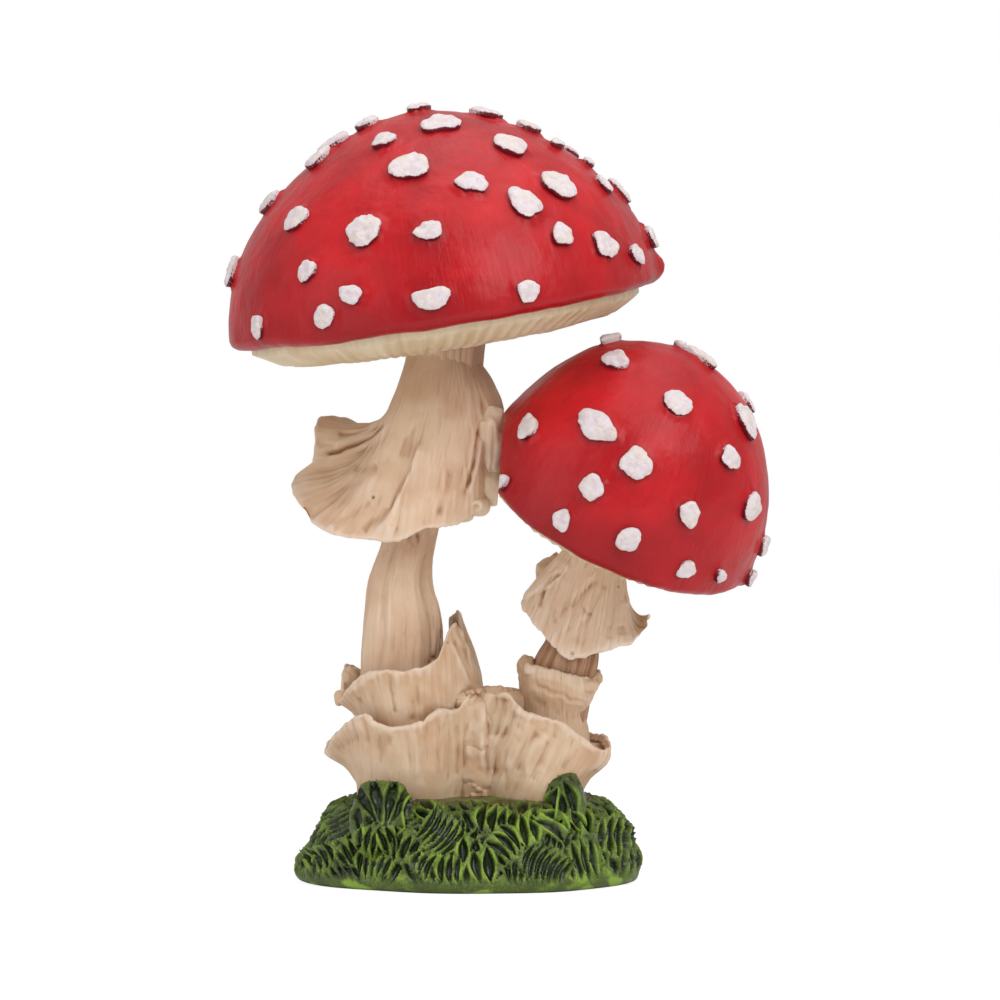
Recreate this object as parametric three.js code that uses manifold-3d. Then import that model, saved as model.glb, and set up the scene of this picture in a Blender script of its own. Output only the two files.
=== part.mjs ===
// A hand-painted cast resin ornament: two red toadstools leaning together on a grassy mound.
// Millimetres, +Z up. The origin is the middle of the mound's flat underside.
// +X runs from the big toadstool towards the small one, and -Y is the front.
import * as THREE from 'three';
import { mergeVertices } from 'three/addons/utils/BufferGeometryUtils.js';
import Module from 'manifold-3d';

const wasm = await Module();
wasm.setup();

// Fits
const bondGap = 0.3; // glue line between two castings
const pinClearance = 0.3; // all round each steel pin

// Mound
const moundWidth = 101;
const moundDepth = 84;
const moundHeight = 25;
const moundBand = 4; // smooth band at the foot
const moundUndercut = 1.5; // how far the band draws in at its bottom edge
const moundShoulder = 17; // how far the sloping side comes in from the foot to the top
const moundLobe = 1.4; // how far the outline wanders in and out
const tuftsAround = 24; // tufts of grass in each row round the slope
const tuftRows = 3;
const tuftHeight = 2.2; // from the hollows between tufts to their crowns

// Grass clumps: where each stands, its reach, and how far it rises above the mound
const leftClump = { x: -21, y: -26, reachX: 13, reachY: 8, rise: 7 };
const rightClump = { x: 32, y: -18, reachX: 9, reachY: 7, rise: 8 };
const clumpSink = 8; // how deep a clump's roots go below the mound's top
const clumpBlades = 9;
const clumpRidge = 0.14; // share of the radius that a blade stands out

// Feet of the stems on the mound
const bigFoot = { x: -20.5, y: 0 };
const smallFoot = { x: 24, y: -5 };

// Cups: x and y from the foot of their stem, radii at the foot, the flare and the rim,
// and heights above the cup's own foot
const cupSink = 4; // how deep the lower cups stand in the mound, and the upper cups in the lower
const bigLowerCup = {
  x: 3.5, y: -1, foot: 19, flare: 24.5, flareHeight: 20, rim: 22.5, height: 28, dish: 24, tilt: 2,
};
const smallLowerCup = {
  x: -3, y: 0, foot: 17, flare: 20.5, flareHeight: 19, rim: 18, height: 25, dish: 22, tilt: -6,
};
const bigUpperCup = {
  x: 5, y: 0, foot: 16, flare: 21.5, flareHeight: 15, rim: 22, height: 21, dish: 13, tilt: 0,
};
const smallUpperCup = {
  x: 2.5, y: 0, foot: 8.5, flare: 12, flareHeight: 19, rim: 12.3, height: 25, dish: 21, tilt: 0,
};
const rimWall = 2.5;
const frill = 1.3; // wave of a cup's rim
const tongueRise = 16; // the pointed tongue on the big upper cup
const tongueTurn = 46; // degrees round from +X
const tongueSpread = 18; // degrees

// Caps: the rim's middle, the dome's size, how full it is (2 is an ellipse), and its tilt in degrees,
// roll towards +X and lean towards the front
const bigCap = {
  x: -7.4, y: 0, z: 168.5, radius: 64.3, height: 57.2, fullness: 1.76, roll: -9.1, lean: 6.3,
};
const smallCap = {
  x: 42.6, y: -10, z: 108.5, radius: 43.4, height: 51.1, fullness: 2, roll: 25.6, lean: 19.9,
};
const capLip = 3; // how far the painted rim rolls down below the dome
const lipDrawIn = 0.6; // how far the lip draws in halfway down
const lipInnerRise = 0.3; // the lip's inner edge above its lowest line
const gillTuck = 0.2; // how far the gills' outer edge starts above the lip's inner edge
const recessDepth = 4; // recess in the cap's underside that takes the gills

// Gills: how far in from the cap's rim they start, and how far they hang below it
const bigGills = { inset: 6.5, drop: 10.5, pleats: 46 };
const smallGills = { inset: 4.5, drop: 7, pleats: 36 };
const pleatDepth = 0.8;

// Stems: radii up their length
const bigStemRadii = { foot: 12, swell: 11.6, waist: 7.7, neck: 11.4 };
const smallStemRadii = { foot: 8.6, swell: 8.2, waist: 7.2, neck: 8 };
const stemInsert = 3; // how far a stem goes up into the gills
const fluteDepth = 0.05; // share of the radius
const fluteCount = 9;
const stemTwist = 0.6; // radians over the stem's length

// Skirts: x and y from the top of their stem, and how far the neck is below the gills.
// Each hem station is degrees round from +X, reach, drop below the neck, and sweep, which is under 1
// where the ring hangs like a bell and over 1 where it flares like a cape.
const bigSkirt = {
  x: -1.8, y: -0.8, below: 5, collar: 10.5, hollow: 46,
  hem: [
    { turn: 0, reach: 17.5, drop: 42, sweep: 0.4 },
    { turn: 45, reach: 19, drop: 42, sweep: 0.7 },
    { turn: 90, reach: 22, drop: 38, sweep: 1 },
    { turn: 125, reach: 29, drop: 26, sweep: 2.5 },
    { turn: 155, reach: 40, drop: 19.5, sweep: 4 },
    { turn: 167, reach: 41, drop: 28, sweep: 4 },
    { turn: 180, reach: 44, drop: 36, sweep: 3.5 },
    { turn: 195, reach: 42, drop: 43, sweep: 2.5 },
    { turn: 211, reach: 36, drop: 49.5, sweep: 1.6 },
    { turn: 236, reach: 28, drop: 51, sweep: 1 },
    { turn: 270, reach: 23, drop: 49, sweep: 0.8 },
    { turn: 315, reach: 20, drop: 44, sweep: 0.5 },
  ],
};
const smallSkirt = {
  x: -5.5, y: 3.7, below: 3, collar: 7.6, hollow: 26.5,
  hem: [
    { turn: 0, reach: 17.5, drop: 22.5, sweep: 1.1 },
    { turn: 50, reach: 14, drop: 23.5, sweep: 1 },
    { turn: 100, reach: 13, drop: 22.5, sweep: 1 },
    { turn: 140, reach: 12, drop: 14.5, sweep: 1 },
    { turn: 165, reach: 15, drop: 8, sweep: 0.7 },
    { turn: 182, reach: 18.5, drop: 16.5, sweep: 0.8 },
    { turn: 200, reach: 17, drop: 21.5, sweep: 0.8 },
    { turn: 225, reach: 13, drop: 26.5, sweep: 0.6 },
    { turn: 270, reach: 12.5, drop: 30.5, sweep: 0.5 },
    { turn: 305, reach: 14.5, drop: 30.5, sweep: 0.6 },
    { turn: 335, reach: 17, drop: 27.5, sweep: 0.9 },
  ],
};
const hemThickness = 2.5;

// Flat where the small cap is bonded to the big skirt's side: its reach from the skirt's middle,
// how far below the neck, and how many degrees it leans towards +X going up
const contact = { reach: 16.8, below: 41, slope: 4 };

// Steel pins: radius, and how far each reaches into the casting on either side of its joint
const bigCapPin = { radius: 2.5, reachDown: 22, reachUp: 22 };
const smallCapPin = { radius: 2, reachDown: 14, reachUp: 18 };
const bigFootPin = { radius: 2.5, reachDown: 12, reachUp: 22 };
const smallFootPin = { radius: 2, reachDown: 10, reachUp: 18 };

// Warts: degrees round the cap's own axis, degrees down from the top, and widest size in millimetres
const wartThickness = 2;
const wartFace = 0.86; // top face against the widest outline
const reliefRoot = 1; // how deep the warts that are cast with a cap go below its surface
const bigCapWarts = [
  [-8, 3, 10], [-69, 24, 10], [-4, 22, 10], [-158, 33, 8], [-109, 28, 7], [-94, 44, 11.5], [-48, 42, 10],
  [-73, 54, 9], [-42, 59, 10.5], [-60, 64, 9.5], [-139, 57, 8.5], [-110, 64, 10.5], [-90, 67, 8],
  [-52, 75, 7.5], [-39, 80, 10], [-127, 73, 6.5], [-113, 81, 7], [-92, 85, 11], [-174, 72, 10],
  [40, 42, 10], [75, 62, 9], [112, 38, 10], [135, 66, 10], [88, 84, 9], [18, 74, 9],
];
const smallCapWarts = [
  [-153, 25, 9], [67, 6, 8.5], [-84, 26, 9], [-43, 40, 8], [-117, 48, 13], [-93, 52, 10.5], [-104, 68, 8.5],
  [-63, 62, 8], [-25, 57, 9], [-82, 79, 8.5], [-1, 77, 8], [50, 48, 9], [95, 58, 9], [75, 80, 8],
];

// Warts cast in relief with their cap, listed in the same way
const bigCapRelief = [
  [-162, 14, 7], [-171, 23, 8], [-14, 45, 5.5], [-6, 35, 6], [-9, 56, 4.5], [-19, 63, 5.5], [-4, 66, 8],
  [-173, 50, 8], [-25, 84, 5.5], [-7, 82, 7], [-121, 86, 6.5], [-67, 87, 6.5], [-146, 85, 5.8],
  [62, 20, 8.5], [150, 35, 8], [97, 61, 6.5], [54, 76, 6.5], [112, 83, 7.5], [157, 84, 6.5],
  [37, 62, 7.5], [141, 47, 6], [70, 86, 6], [13, 50, 6.5], [38, 85, 7], [80, 41, 6],
];
const smallCapRelief = [
  [162, 28, 7], [-18, 28, 9], [-145, 64, 6.5], [-140, 86, 5], [-108, 84, 5.5], [-55, 83, 5.4], [-36, 84, 4],
  [0, 52, 4], [-9, 87, 5], [112, 12, 4], [20, 35, 7], [72, 33, 6], [118, 38, 6.5], [30, 68, 6.5], [56, 76, 5.5],
  [101, 81, 6], [121, 62, 5.5],
];

// Colours of the painted finishes
const paint = {
  red: { color: 0xb01220, roughness: 0.25, metalness: 0 },
  white: { color: 0xece2e4, roughness: 0.8, metalness: 0 },
  gill: { color: 0xe0cba0, roughness: 0.6, metalness: 0 },
  stem: { color: 0xd2b48a, roughness: 0.55, metalness: 0 },
  cup: { color: 0xc2a078, roughness: 0.55, metalness: 0 },
  grass: { color: 0x2f5a1c, roughness: 0.35, metalness: 0 },
  steel: { color: 0x9a9a9a, roughness: 0.35, metalness: 1 },
};

// Facets round each form
const moundFacets = 4 * tuftsAround;
const clumpFacets = 3 * clumpBlades;
const cupFacets = 36;
const stemFacets = 3 * fluteCount;
const skirtFacets = 36;
const capFacets = 44;
const wartFacets = 10;
const reliefFacets = 8;
const pinFacets = 16;

const radians = THREE.MathUtils.degToRad;

// Shape helpers

function welded(geometry) {
  geometry.deleteAttribute('normal');
  geometry.deleteAttribute('uv');
  return mergeVertices(geometry, 1e-4);
}

// Turns a closed profile about +Z. The [radius, height] points run from the axis at the bottom,
// out and up, and back to the axis at the top.
function turned(profile, facets) {
  const points = profile.map(([radius, height]) => new THREE.Vector2(radius, height));
  return welded(new THREE.LatheGeometry(points, facets).rotateX(Math.PI / 2));
}

// Moves a profile outwards by the same amount all along, for the clearance round a piece.
function grown(profile, amount) {
  return profile.map(([radius, height], index) => {
    const before = profile[Math.max(index - 1, 0)];
    const after = profile[Math.min(index + 1, profile.length - 1)];
    const along = new THREE.Vector2(after[0] - before[0], after[1] - before[1]).normalize();
    const outward = radius === 0 ? 0 : along.y * amount;
    return [radius + outward, height - along.x * amount];
  });
}

// Passes every vertex through move, which changes the point that it is given.
function sculpted(geometry, move) {
  const position = geometry.attributes.position;
  const point = new THREE.Vector3();
  for (let index = 0; index < position.count; index += 1) {
    point.fromBufferAttribute(position, index);
    move(point);
    position.setXYZ(index, point.x, point.y, point.z);
  }
  return geometry;
}

// Smooth curve through [place, value] stations.
function through(stations, place) {
  const last = stations.length - 1;
  const at = THREE.MathUtils.clamp(place, stations[0][0], stations[last][0]);
  let index = 0;
  while (index < last - 1 && at > stations[index + 1][0]) index += 1;
  const slope = (station) => {
    const low = stations[Math.max(station - 1, 0)];
    const high = stations[Math.min(station + 1, last)];
    return (high[1] - low[1]) / (high[0] - low[0]);
  };
  const [start, from] = stations[index];
  const [end, to] = stations[index + 1];
  const span = end - start;
  const t = (at - start) / span;
  const ease = t * t * (3 - 2 * t);
  const leaving = slope(index) * span * t * (1 - t) * (1 - t);
  const arriving = slope(index + 1) * span * t * t * (t - 1);
  return from + (to - from) * ease + leaving + arriving;
}

// A named piece of the ornament. Its room is the space that its neighbours leave round it.
function piece(parent, name, finish, shape, clearance = bondGap) {
  const mesh = new THREE.Mesh(shape(0), new THREE.MeshStandardMaterial({ ...finish }));
  mesh.name = name;
  parent.add(mesh);
  return { mesh, room: () => shape(clearance) };
}

// A closed geometry as a solid, brought from its own mesh's frame into the target's.
function solidIn(target, geometry, mesh) {
  const moved = geometry.clone();
  moved.applyMatrix4(target.matrixWorld.clone().invert().multiply(mesh.matrixWorld));
  const vertProperties = new Float32Array(moved.attributes.position.array);
  const triVerts = new Uint32Array(moved.index.array);
  return new wasm.Manifold(new wasm.Mesh({ numProp: 3, vertProperties, triVerts }));
}

// Cuts the seats of its neighbours out of a piece.
function seat({ mesh }, ...neighbours) {
  ornament.updateMatrixWorld(true);
  let solid = solidIn(mesh, mesh.geometry, mesh);
  for (const neighbour of neighbours) solid = solid.subtract(solidIn(mesh, neighbour.room(), neighbour.mesh));
  mesh.geometry = geometryOf(solid);
}

function geometryOf(solid) {
  const { vertProperties, triVerts } = solid.getMesh();
  const geometry = new THREE.BufferGeometry();
  geometry.setAttribute('position', new THREE.BufferAttribute(new Float32Array(vertProperties), 3));
  geometry.setIndex(new THREE.BufferAttribute(new Uint32Array(triVerts), 1));
  return geometry;
}

// Mound

function moundShape(grow) {
  const foot = moundWidth / 2;
  const rise = moundHeight - moundBand;
  const drawIn = [[0, 0], [0.18, 0.07], [0.36, 0.25], [0.64, 0.36], [0.85, 0.55], [1, 1]];
  const profile = [[0, 0], [foot - moundUndercut, 0]];
  const rings = 2 * tuftRows;
  for (let ring = 0; ring <= rings; ring += 1) {
    const up = ring / rings;
    profile.push([foot - moundShoulder * through(drawIn, up), moundBand + rise * up]);
  }
  profile.push([0, moundHeight]);
  return sculpted(turned(grown(profile, grow), moundFacets), (point) => {
    const angle = Math.atan2(point.y, point.x);
    const share = Math.hypot(point.x, point.y) / foot;
    const up = THREE.MathUtils.clamp((point.z - moundBand) / rise, 0, 1);
    const wander = moundLobe * share * (Math.cos(3 * angle + 0.6) + 0.6 * Math.cos(5 * angle + 1.9)) / foot;
    const tuft = 0.5 * tuftHeight * Math.cos(tuftsAround * angle) * Math.sin(Math.PI * tuftRows * up);
    const swell = 1 + wander + (tuft * (1 - 0.5 * up)) / foot;
    point.x *= swell;
    point.y *= swell * (moundDepth / moundWidth);
    if (share > 0.5) point.z += 0.5 * up * tuft;
  });
}

// A rosette of broad blades: a dome with a ridge for each blade.
function clumpShape(clump, grow) {
  const steps = 5;
  const profile = [[0, 0], [1, 0]];
  for (let step = 1; step < steps; step += 1) {
    const angle = (step / steps) * (Math.PI / 2);
    profile.push([Math.cos(angle), Math.sin(angle)]);
  }
  profile.push([0, 1]);
  return sculpted(turned(profile, clumpFacets), (point) => {
    const angle = Math.atan2(point.y, point.x);
    const ridge = 1 + clumpRidge * Math.cos(clumpBlades * angle + 2 * point.z);
    point.x = clump.x + point.x * (clump.reachX * ridge + grow);
    point.y = clump.y + point.y * (clump.reachY * ridge + grow);
    point.z = moundHeight + THREE.MathUtils.lerp(-clumpSink - grow, clump.rise + grow, point.z);
  });
}

// Cups

// A torn cup of veil round the foot of a stem: a flared dish whose wall waves more towards its rim.
// A brimful cup has no dish: its neighbours are cut by it, so that none of them reaches over the rim.
function cupShape(cup, stemFoot, seatHeight, wave, grow, brimful = false) {
  const inside = [
    [cup.rim - rimWall, cup.height - 0.2 * rimWall],
    [cup.rim - 1.5 * rimWall, cup.dish],
    [0, cup.dish],
  ];
  const profile = grown([
    [0, 0],
    [cup.foot, 0],
    [0.5 * (cup.foot + cup.flare), 0.5 * cup.flareHeight],
    [cup.flare, cup.flareHeight],
    [cup.rim, cup.height],
    ...(brimful ? [[0, cup.height]] : inside),
  ], grow);
  return sculpted(turned(profile, cupFacets), (point) => {
    const angle = Math.atan2(point.y, point.x);
    const rise = THREE.MathUtils.clamp(point.z / cup.height, 0, 1);
    const edge = Math.hypot(point.x, point.y) > 0.5 * cup.foot ? rise * rise : 0;
    const spread = 1 + (edge * wave(angle).out) / cup.rim;
    point.x = stemFoot.x + cup.x + point.x * spread;
    point.y = stemFoot.y + cup.y + point.y * spread;
    point.z += seatHeight + edge * edge * (wave(angle).up + cup.tilt * Math.cos(angle));
  });
}

function lowerCupWave(angle) {
  return {
    out: frill * (Math.sin(5 * angle + 0.7) + 0.6 * Math.sin(9 * angle + 2)),
    up: frill * (1.4 * Math.sin(4 * angle + 1.1) + 0.5 * Math.sin(11 * angle)),
  };
}

function upperCupWave(angle) {
  return {
    out: frill * (0.8 * Math.sin(4 * angle + 2.2) + 0.5 * Math.sin(7 * angle)),
    up: frill * (Math.sin(3 * angle + 0.4) + 0.6 * Math.sin(8 * angle + 1)),
  };
}

// The big upper cup's rim, with the pointed tongue that stands up behind the stem.
function tongueWave(angle) {
  const away = Math.atan2(Math.sin(angle - radians(tongueTurn)), Math.cos(angle - radians(tongueTurn)));
  const tongue = Math.exp(-((away / radians(tongueSpread)) ** 2));
  const wave = upperCupWave(angle);
  return { out: wave.out * (1 - tongue) - tongue, up: wave.up * (1 - tongue) + tongueRise * tongue };
}

// Stems

// Point on the cap's own axis, so far below the rim, in the ornament's frame.
function underCap(cap, below) {
  const axis = new THREE.Vector3(0, 0, 1).applyEuler(capTurn(cap));
  return new THREE.Vector3(cap.x, cap.y, cap.z).addScaledVector(axis, -below);
}

function capTurn(cap) {
  return new THREE.Euler(radians(cap.lean), radians(cap.roll), 0, 'YXZ');
}

// A fluted stem from the mound up into the gills. Across gives how much of the sideways way is done.
function stemShape(foot, top, radii, across, grow) {
  const rings = 11;
  const profile = [[0, 0]];
  for (let ring = 0; ring <= rings; ring += 1) profile.push([1, ring / rings]);
  profile.push([0, 1]);
  const girth = [
    [0, radii.foot], [0.34, radii.swell], [0.56, radii.waist], [0.9, radii.neck], [1, radii.neck],
  ];
  return sculpted(turned(profile, stemFacets), (point) => {
    const up = point.z;
    const angle = Math.atan2(point.y, point.x);
    const flute = 1 + fluteDepth * Math.cos(fluteCount * (angle - stemTwist * up));
    const radius = through(girth, up) * flute + grow;
    const way = through(across, up);
    point.x = THREE.MathUtils.lerp(foot.x, top.x, way) + point.x * radius;
    point.y = THREE.MathUtils.lerp(foot.y, top.y, way) + point.y * radius;
    point.z = THREE.MathUtils.lerp(lowerCupSeat - grow, top.z + grow, up);
  });
}

const bigStemWay = [[0, 0], [0.35, 0.06], [0.53, 0.08], [0.72, 0.5], [0.92, 0.95], [1, 1]];
const smallStemWay = [[0, 0], [0.4, 0.15], [0.7, 0.55], [1, 1]];

// Skirts

// A torn ring that hangs from its neck and sweeps out to an uneven hem.
function skirtShape(skirt, neck, grow) {
  const circle = 360;
  const first = skirt.hem[0];
  const last = skirt.hem[skirt.hem.length - 1];
  const round = [
    { ...last, turn: last.turn - circle },
    ...skirt.hem,
    { ...first, turn: first.turn + circle },
  ];
  const reaches = round.map(({ turn, reach }) => [turn, reach]);
  const drops = round.map(({ turn, drop }) => [turn, drop]);
  const sweeps = round.map(({ turn, sweep }) => [turn, sweep]);
  const collarShare = 0.2;
  const steps = 4;
  const under = [];
  const over = [];
  for (let step = 0; step <= steps; step += 1) {
    const share = THREE.MathUtils.lerp(collarShare, 1, step / steps);
    under.push([share, 0]);
    over.unshift([share, 1]);
  }
  return sculpted(turned([[0, 0], ...under, ...over, [0, 1]], skirtFacets), (point) => {
    const angle = Math.atan2(point.y, point.x);
    const turn = (THREE.MathUtils.radToDeg(angle) + circle) % circle;
    const share = Math.hypot(point.x, point.y);
    const out = THREE.MathUtils.clamp((share - collarShare) / (1 - collarShare), 0, 1);
    const drop = through(drops, turn);
    const inner = Math.min(1, share / collarShare) * (skirt.collar + grow);
    const radius = THREE.MathUtils.lerp(inner, through(reaches, turn) + grow, out);
    const upper = drop * ((1 - out) ** through(sweeps, turn) - 1) + grow;
    const lower = -THREE.MathUtils.lerp(skirt.hollow, drop + hemThickness, out * out) - grow;
    const level = point.z > 0.5 ? upper : lower;
    point.set(neck.x + radius * Math.cos(angle), neck.y + radius * Math.sin(angle), neck.z + level);
  });
}

// Middle of a skirt's neck, on a stem that ends at the given top.
function neckOf(skirt, cap, gills, top) {
  return new THREE.Vector3(top.x + skirt.x, top.y + skirt.y, underCap(cap, gills.drop).z - skirt.below);
}

// Caps, in their own frame: the rim's middle at the origin and the axis up

function capShape(cap, gills, grow) {
  const profile = [
    [0, recessDepth],
    [cap.radius - gills.inset, recessDepth],
    [cap.radius - gills.inset, lipInnerRise - capLip],
    [cap.radius - 0.5 * gills.inset, -capLip],
    [cap.radius - lipDrawIn, -0.37 * capLip],
  ];
  const steps = 9;
  const power = 2 / cap.fullness;
  for (let step = 0; step < steps; step += 1) {
    const angle = (step / steps) * (Math.PI / 2);
    profile.push([cap.radius * Math.cos(angle) ** power, cap.height * Math.sin(angle) ** power]);
  }
  profile.push([0, cap.height]);
  return turned(grown(profile, grow), capFacets);
}

// The pleated underside: a plug in the cap's recess, swelling down from just inside the rim.
function gillShape(cap, gills, grow) {
  const edge = cap.radius - gills.inset - bondGap;
  const profile = grown([
    [0, -gills.drop],
    [0.35 * edge, -gills.drop],
    [0.7 * edge, -gills.drop],
    [0.87 * edge, -0.86 * gills.drop],
    [0.97 * edge, -0.55 * gills.drop],
    [edge, lipInnerRise + gillTuck - capLip],
    [edge, recessDepth - bondGap],
    [0, recessDepth - bondGap],
  ], grow);
  return sculpted(turned(profile, 2 * gills.pleats), (point) => {
    const angle = Math.atan2(point.y, point.x);
    const radius = Math.hypot(point.x, point.y);
    if (radius < 0.2 * edge || point.z > -0.5 * gills.drop) return;
    point.z += pleatDepth * Math.cos(gills.pleats * angle);
  });
}

// The point of the dome that lies towards a point, and the way the dome faces there.
function onDome(cap, towards) {
  const flat = Math.hypot(towards.x, towards.y) / cap.radius;
  const tall = Math.abs(towards.z) / cap.height;
  const scale = (flat ** cap.fullness + tall ** cap.fullness) ** (1 / cap.fullness);
  const place = towards.clone().divideScalar(scale);
  const out = Math.max(Math.hypot(place.x, place.y), 1e-6);
  const slopeOut = (out / cap.radius) ** (cap.fullness - 1) / cap.radius;
  const slopeUp = (Math.abs(place.z) / cap.height) ** (cap.fullness - 1) / cap.height;
  const facing = new THREE.Vector3(
    (slopeOut * place.x) / out,
    (slopeOut * place.y) / out,
    slopeUp * Math.sign(place.z),
  ).normalize();
  return { place, facing };
}

// A lump of veil seated on the dome, with an uneven outline of its own. Its foot is so far above the dome.
function wartShape(cap, [turn, down, size], number, foot = bondGap, facets = wartFacets) {
  const around = radians(turn);
  const direction = new THREE.Vector3(0, 0, 1)
    .applyAxisAngle(new THREE.Vector3(0, 1, 0), radians(down))
    .applyAxisAngle(new THREE.Vector3(0, 0, 1), around);
  const middle = onDome(cap, direction);
  const sideways = new THREE.Vector3(-Math.sin(around), Math.cos(around), 0);
  const upwards = new THREE.Vector3().crossVectors(middle.facing, sideways);
  const radius = size / 2;
  const profile = [
    [0, foot],
    [0.9 * radius, foot],
    ...(foot > 0 ? [[radius, bondGap + 0.5 * wartThickness]] : []),
    [wartFace * radius, bondGap + wartThickness],
    [0, bondGap + 1.1 * wartThickness],
  ];
  return sculpted(turned(profile, facets), (point) => {
    const angle = Math.atan2(point.y, point.x);
    const outline = 1 + 0.1 * Math.sin(2 * angle + 1.7 * number) + 0.07 * Math.sin(3 * angle + 2.3 * number);
    const lift = point.z;
    const towards = middle.place.clone()
      .addScaledVector(sideways, point.x * outline)
      .addScaledVector(upwards, point.y * outline);
    const { place, facing } = onDome(cap, towards);
    point.copy(place.addScaledVector(facing, lift));
  });
}

// Casts warts in relief with a cap, in the cap's own frame.
function castRelief({ mesh }, cap, warts) {
  let solid = solidIn(mesh, mesh.geometry, mesh);
  warts.forEach((wart, index) => {
    solid = solid.add(solidIn(mesh, wartShape(cap, wart, index, -reliefRoot, reliefFacets), mesh));
  });
  mesh.geometry = geometryOf(solid);
}

// A steel pin along +Z, with the joint that it crosses at the origin.
function pinShape(pin, grow) {
  const radius = pin.radius + grow;
  const length = pin.reachDown + pin.reachUp + 2 * grow;
  const shape = new THREE.CylinderGeometry(radius, radius, length, pinFacets);
  return welded(shape.rotateX(Math.PI / 2).translate(0, 0, 0.5 * (pin.reachUp - pin.reachDown)));
}

// The space on one side of the flat where the small cap meets the big skirt.
function contactShape(side) {
  const reach = 2 * smallCap.radius;
  return welded(new THREE.BoxGeometry(reach, 2 * reach, 2 * reach).translate(0.5 * side * reach, 0, 0));
}

// Assembly

const ornament = new THREE.Group();

// An empty frame that carries pieces.
function group(parent, place, turn = new THREE.Euler()) {
  const frame = new THREE.Group();
  frame.position.set(place.x, place.y, place.z);
  frame.rotation.copy(turn);
  parent.add(frame);
  return frame;
}

const lowerCupSeat = moundHeight - cupSink;
const bigStemTop = underCap(bigCap, bigGills.drop - stemInsert);
const smallStemTop = underCap(smallCap, smallGills.drop - stemInsert);
const bigNeck = neckOf(bigSkirt, bigCap, bigGills, bigStemTop);
const smallNeck = neckOf(smallSkirt, smallCap, smallGills, smallStemTop);
const bigHead = group(ornament, bigCap, capTurn(bigCap));
const smallHead = group(ornament, smallCap, capTurn(smallCap));

const mound = piece(ornament, 'mound', paint.grass, moundShape);
const leftGrass = piece(ornament, 'grass_clump_left', paint.grass, (grow) => clumpShape(leftClump, grow));
const rightGrass = piece(ornament, 'grass_clump_right', paint.grass, (grow) => clumpShape(rightClump, grow));

const bigLowerForm = (grow, brimful) => (
  cupShape(bigLowerCup, bigFoot, lowerCupSeat, lowerCupWave, grow, brimful));
const bigUpperForm = (grow, brimful) => (
  cupShape(bigUpperCup, bigFoot, lowerCupSeat + bigLowerCup.dish - cupSink, tongueWave, grow, brimful));
const bigLower = piece(ornament, 'big_lower_cup', paint.cup, bigLowerForm);
const bigUpper = piece(ornament, 'big_upper_cup', paint.cup, bigUpperForm);
const besideBigLower = { mesh: bigLower.mesh, room: () => bigLowerForm(bondGap, true) };
const besideBigUpper = { mesh: bigUpper.mesh, room: () => bigUpperForm(bondGap, true) };
const bigStem = piece(ornament, 'big_stem', paint.stem, (grow) => (
  stemShape(bigFoot, bigStemTop, bigStemRadii, bigStemWay, grow)));
const bigRing = piece(ornament, 'big_skirt', paint.stem, (grow) => skirtShape(bigSkirt, bigNeck, grow));

const smallLower = piece(ornament, 'small_lower_cup', paint.cup, (grow) => (
  cupShape(smallLowerCup, smallFoot, lowerCupSeat, lowerCupWave, grow)));
const smallUpper = piece(ornament, 'small_upper_cup', paint.cup, (grow) => (
  cupShape(smallUpperCup, smallFoot, lowerCupSeat + smallLowerCup.dish - cupSink, upperCupWave, grow)));
const smallStem = piece(ornament, 'small_stem', paint.stem, (grow) => (
  stemShape(smallFoot, smallStemTop, smallStemRadii, smallStemWay, grow)));
const smallRing = piece(ornament, 'small_skirt', paint.stem, (grow) => (
  skirtShape(smallSkirt, smallNeck, grow)));

const bigPleats = piece(bigHead, 'big_gills', paint.gill, (grow) => gillShape(bigCap, bigGills, grow));
const bigDome = piece(bigHead, 'big_cap', paint.red, (grow) => capShape(bigCap, bigGills, grow));
const smallPleats = piece(smallHead, 'small_gills', paint.gill, (grow) => (
  gillShape(smallCap, smallGills, grow)));
const smallDome = piece(smallHead, 'small_cap', paint.red, (grow) => capShape(smallCap, smallGills, grow));

// Each pin's group stands at the joint that it crosses.
function pinned(parent, joint, name, pin) {
  return piece(group(parent, joint), name, paint.steel, (grow) => pinShape(pin, grow), pinClearance);
}

const bigCapJoint = { x: 0, y: 0, z: stemInsert - bigGills.drop };
const smallCapJoint = { x: 0, y: 0, z: stemInsert - smallGills.drop };
const bigCapSteel = pinned(bigHead, bigCapJoint, 'big_cap_pin', bigCapPin);
const smallCapSteel = pinned(smallHead, smallCapJoint, 'small_cap_pin', smallCapPin);
const bigFootSteel = pinned(ornament, { ...bigFoot, z: lowerCupSeat }, 'big_foot_pin', bigFootPin);
const smallFootSteel = pinned(ornament, { ...smallFoot, z: lowerCupSeat }, 'small_foot_pin', smallFootPin);

const contactPoint = { x: bigNeck.x + contact.reach, y: smallCap.y, z: bigNeck.z - contact.below };
const contactFrame = group(ornament, contactPoint, new THREE.Euler(0, radians(contact.slope), 0));
const skirtSide = { mesh: contactFrame, room: () => contactShape(-1) };
const capSide = { mesh: contactFrame, room: () => contactShape(1).translate(-bondGap, 0, 0) };

bigCapWarts.forEach((wart, index) => {
  const name = `big_cap_wart_${String(index + 1).padStart(2, '0')}`;
  piece(bigHead, name, paint.white, () => wartShape(bigCap, wart, index));
});
smallCapWarts.forEach((wart, index) => {
  const name = `small_cap_wart_${String(index + 1).padStart(2, '0')}`;
  piece(smallHead, name, paint.white, () => wartShape(smallCap, wart, index));
});

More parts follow.
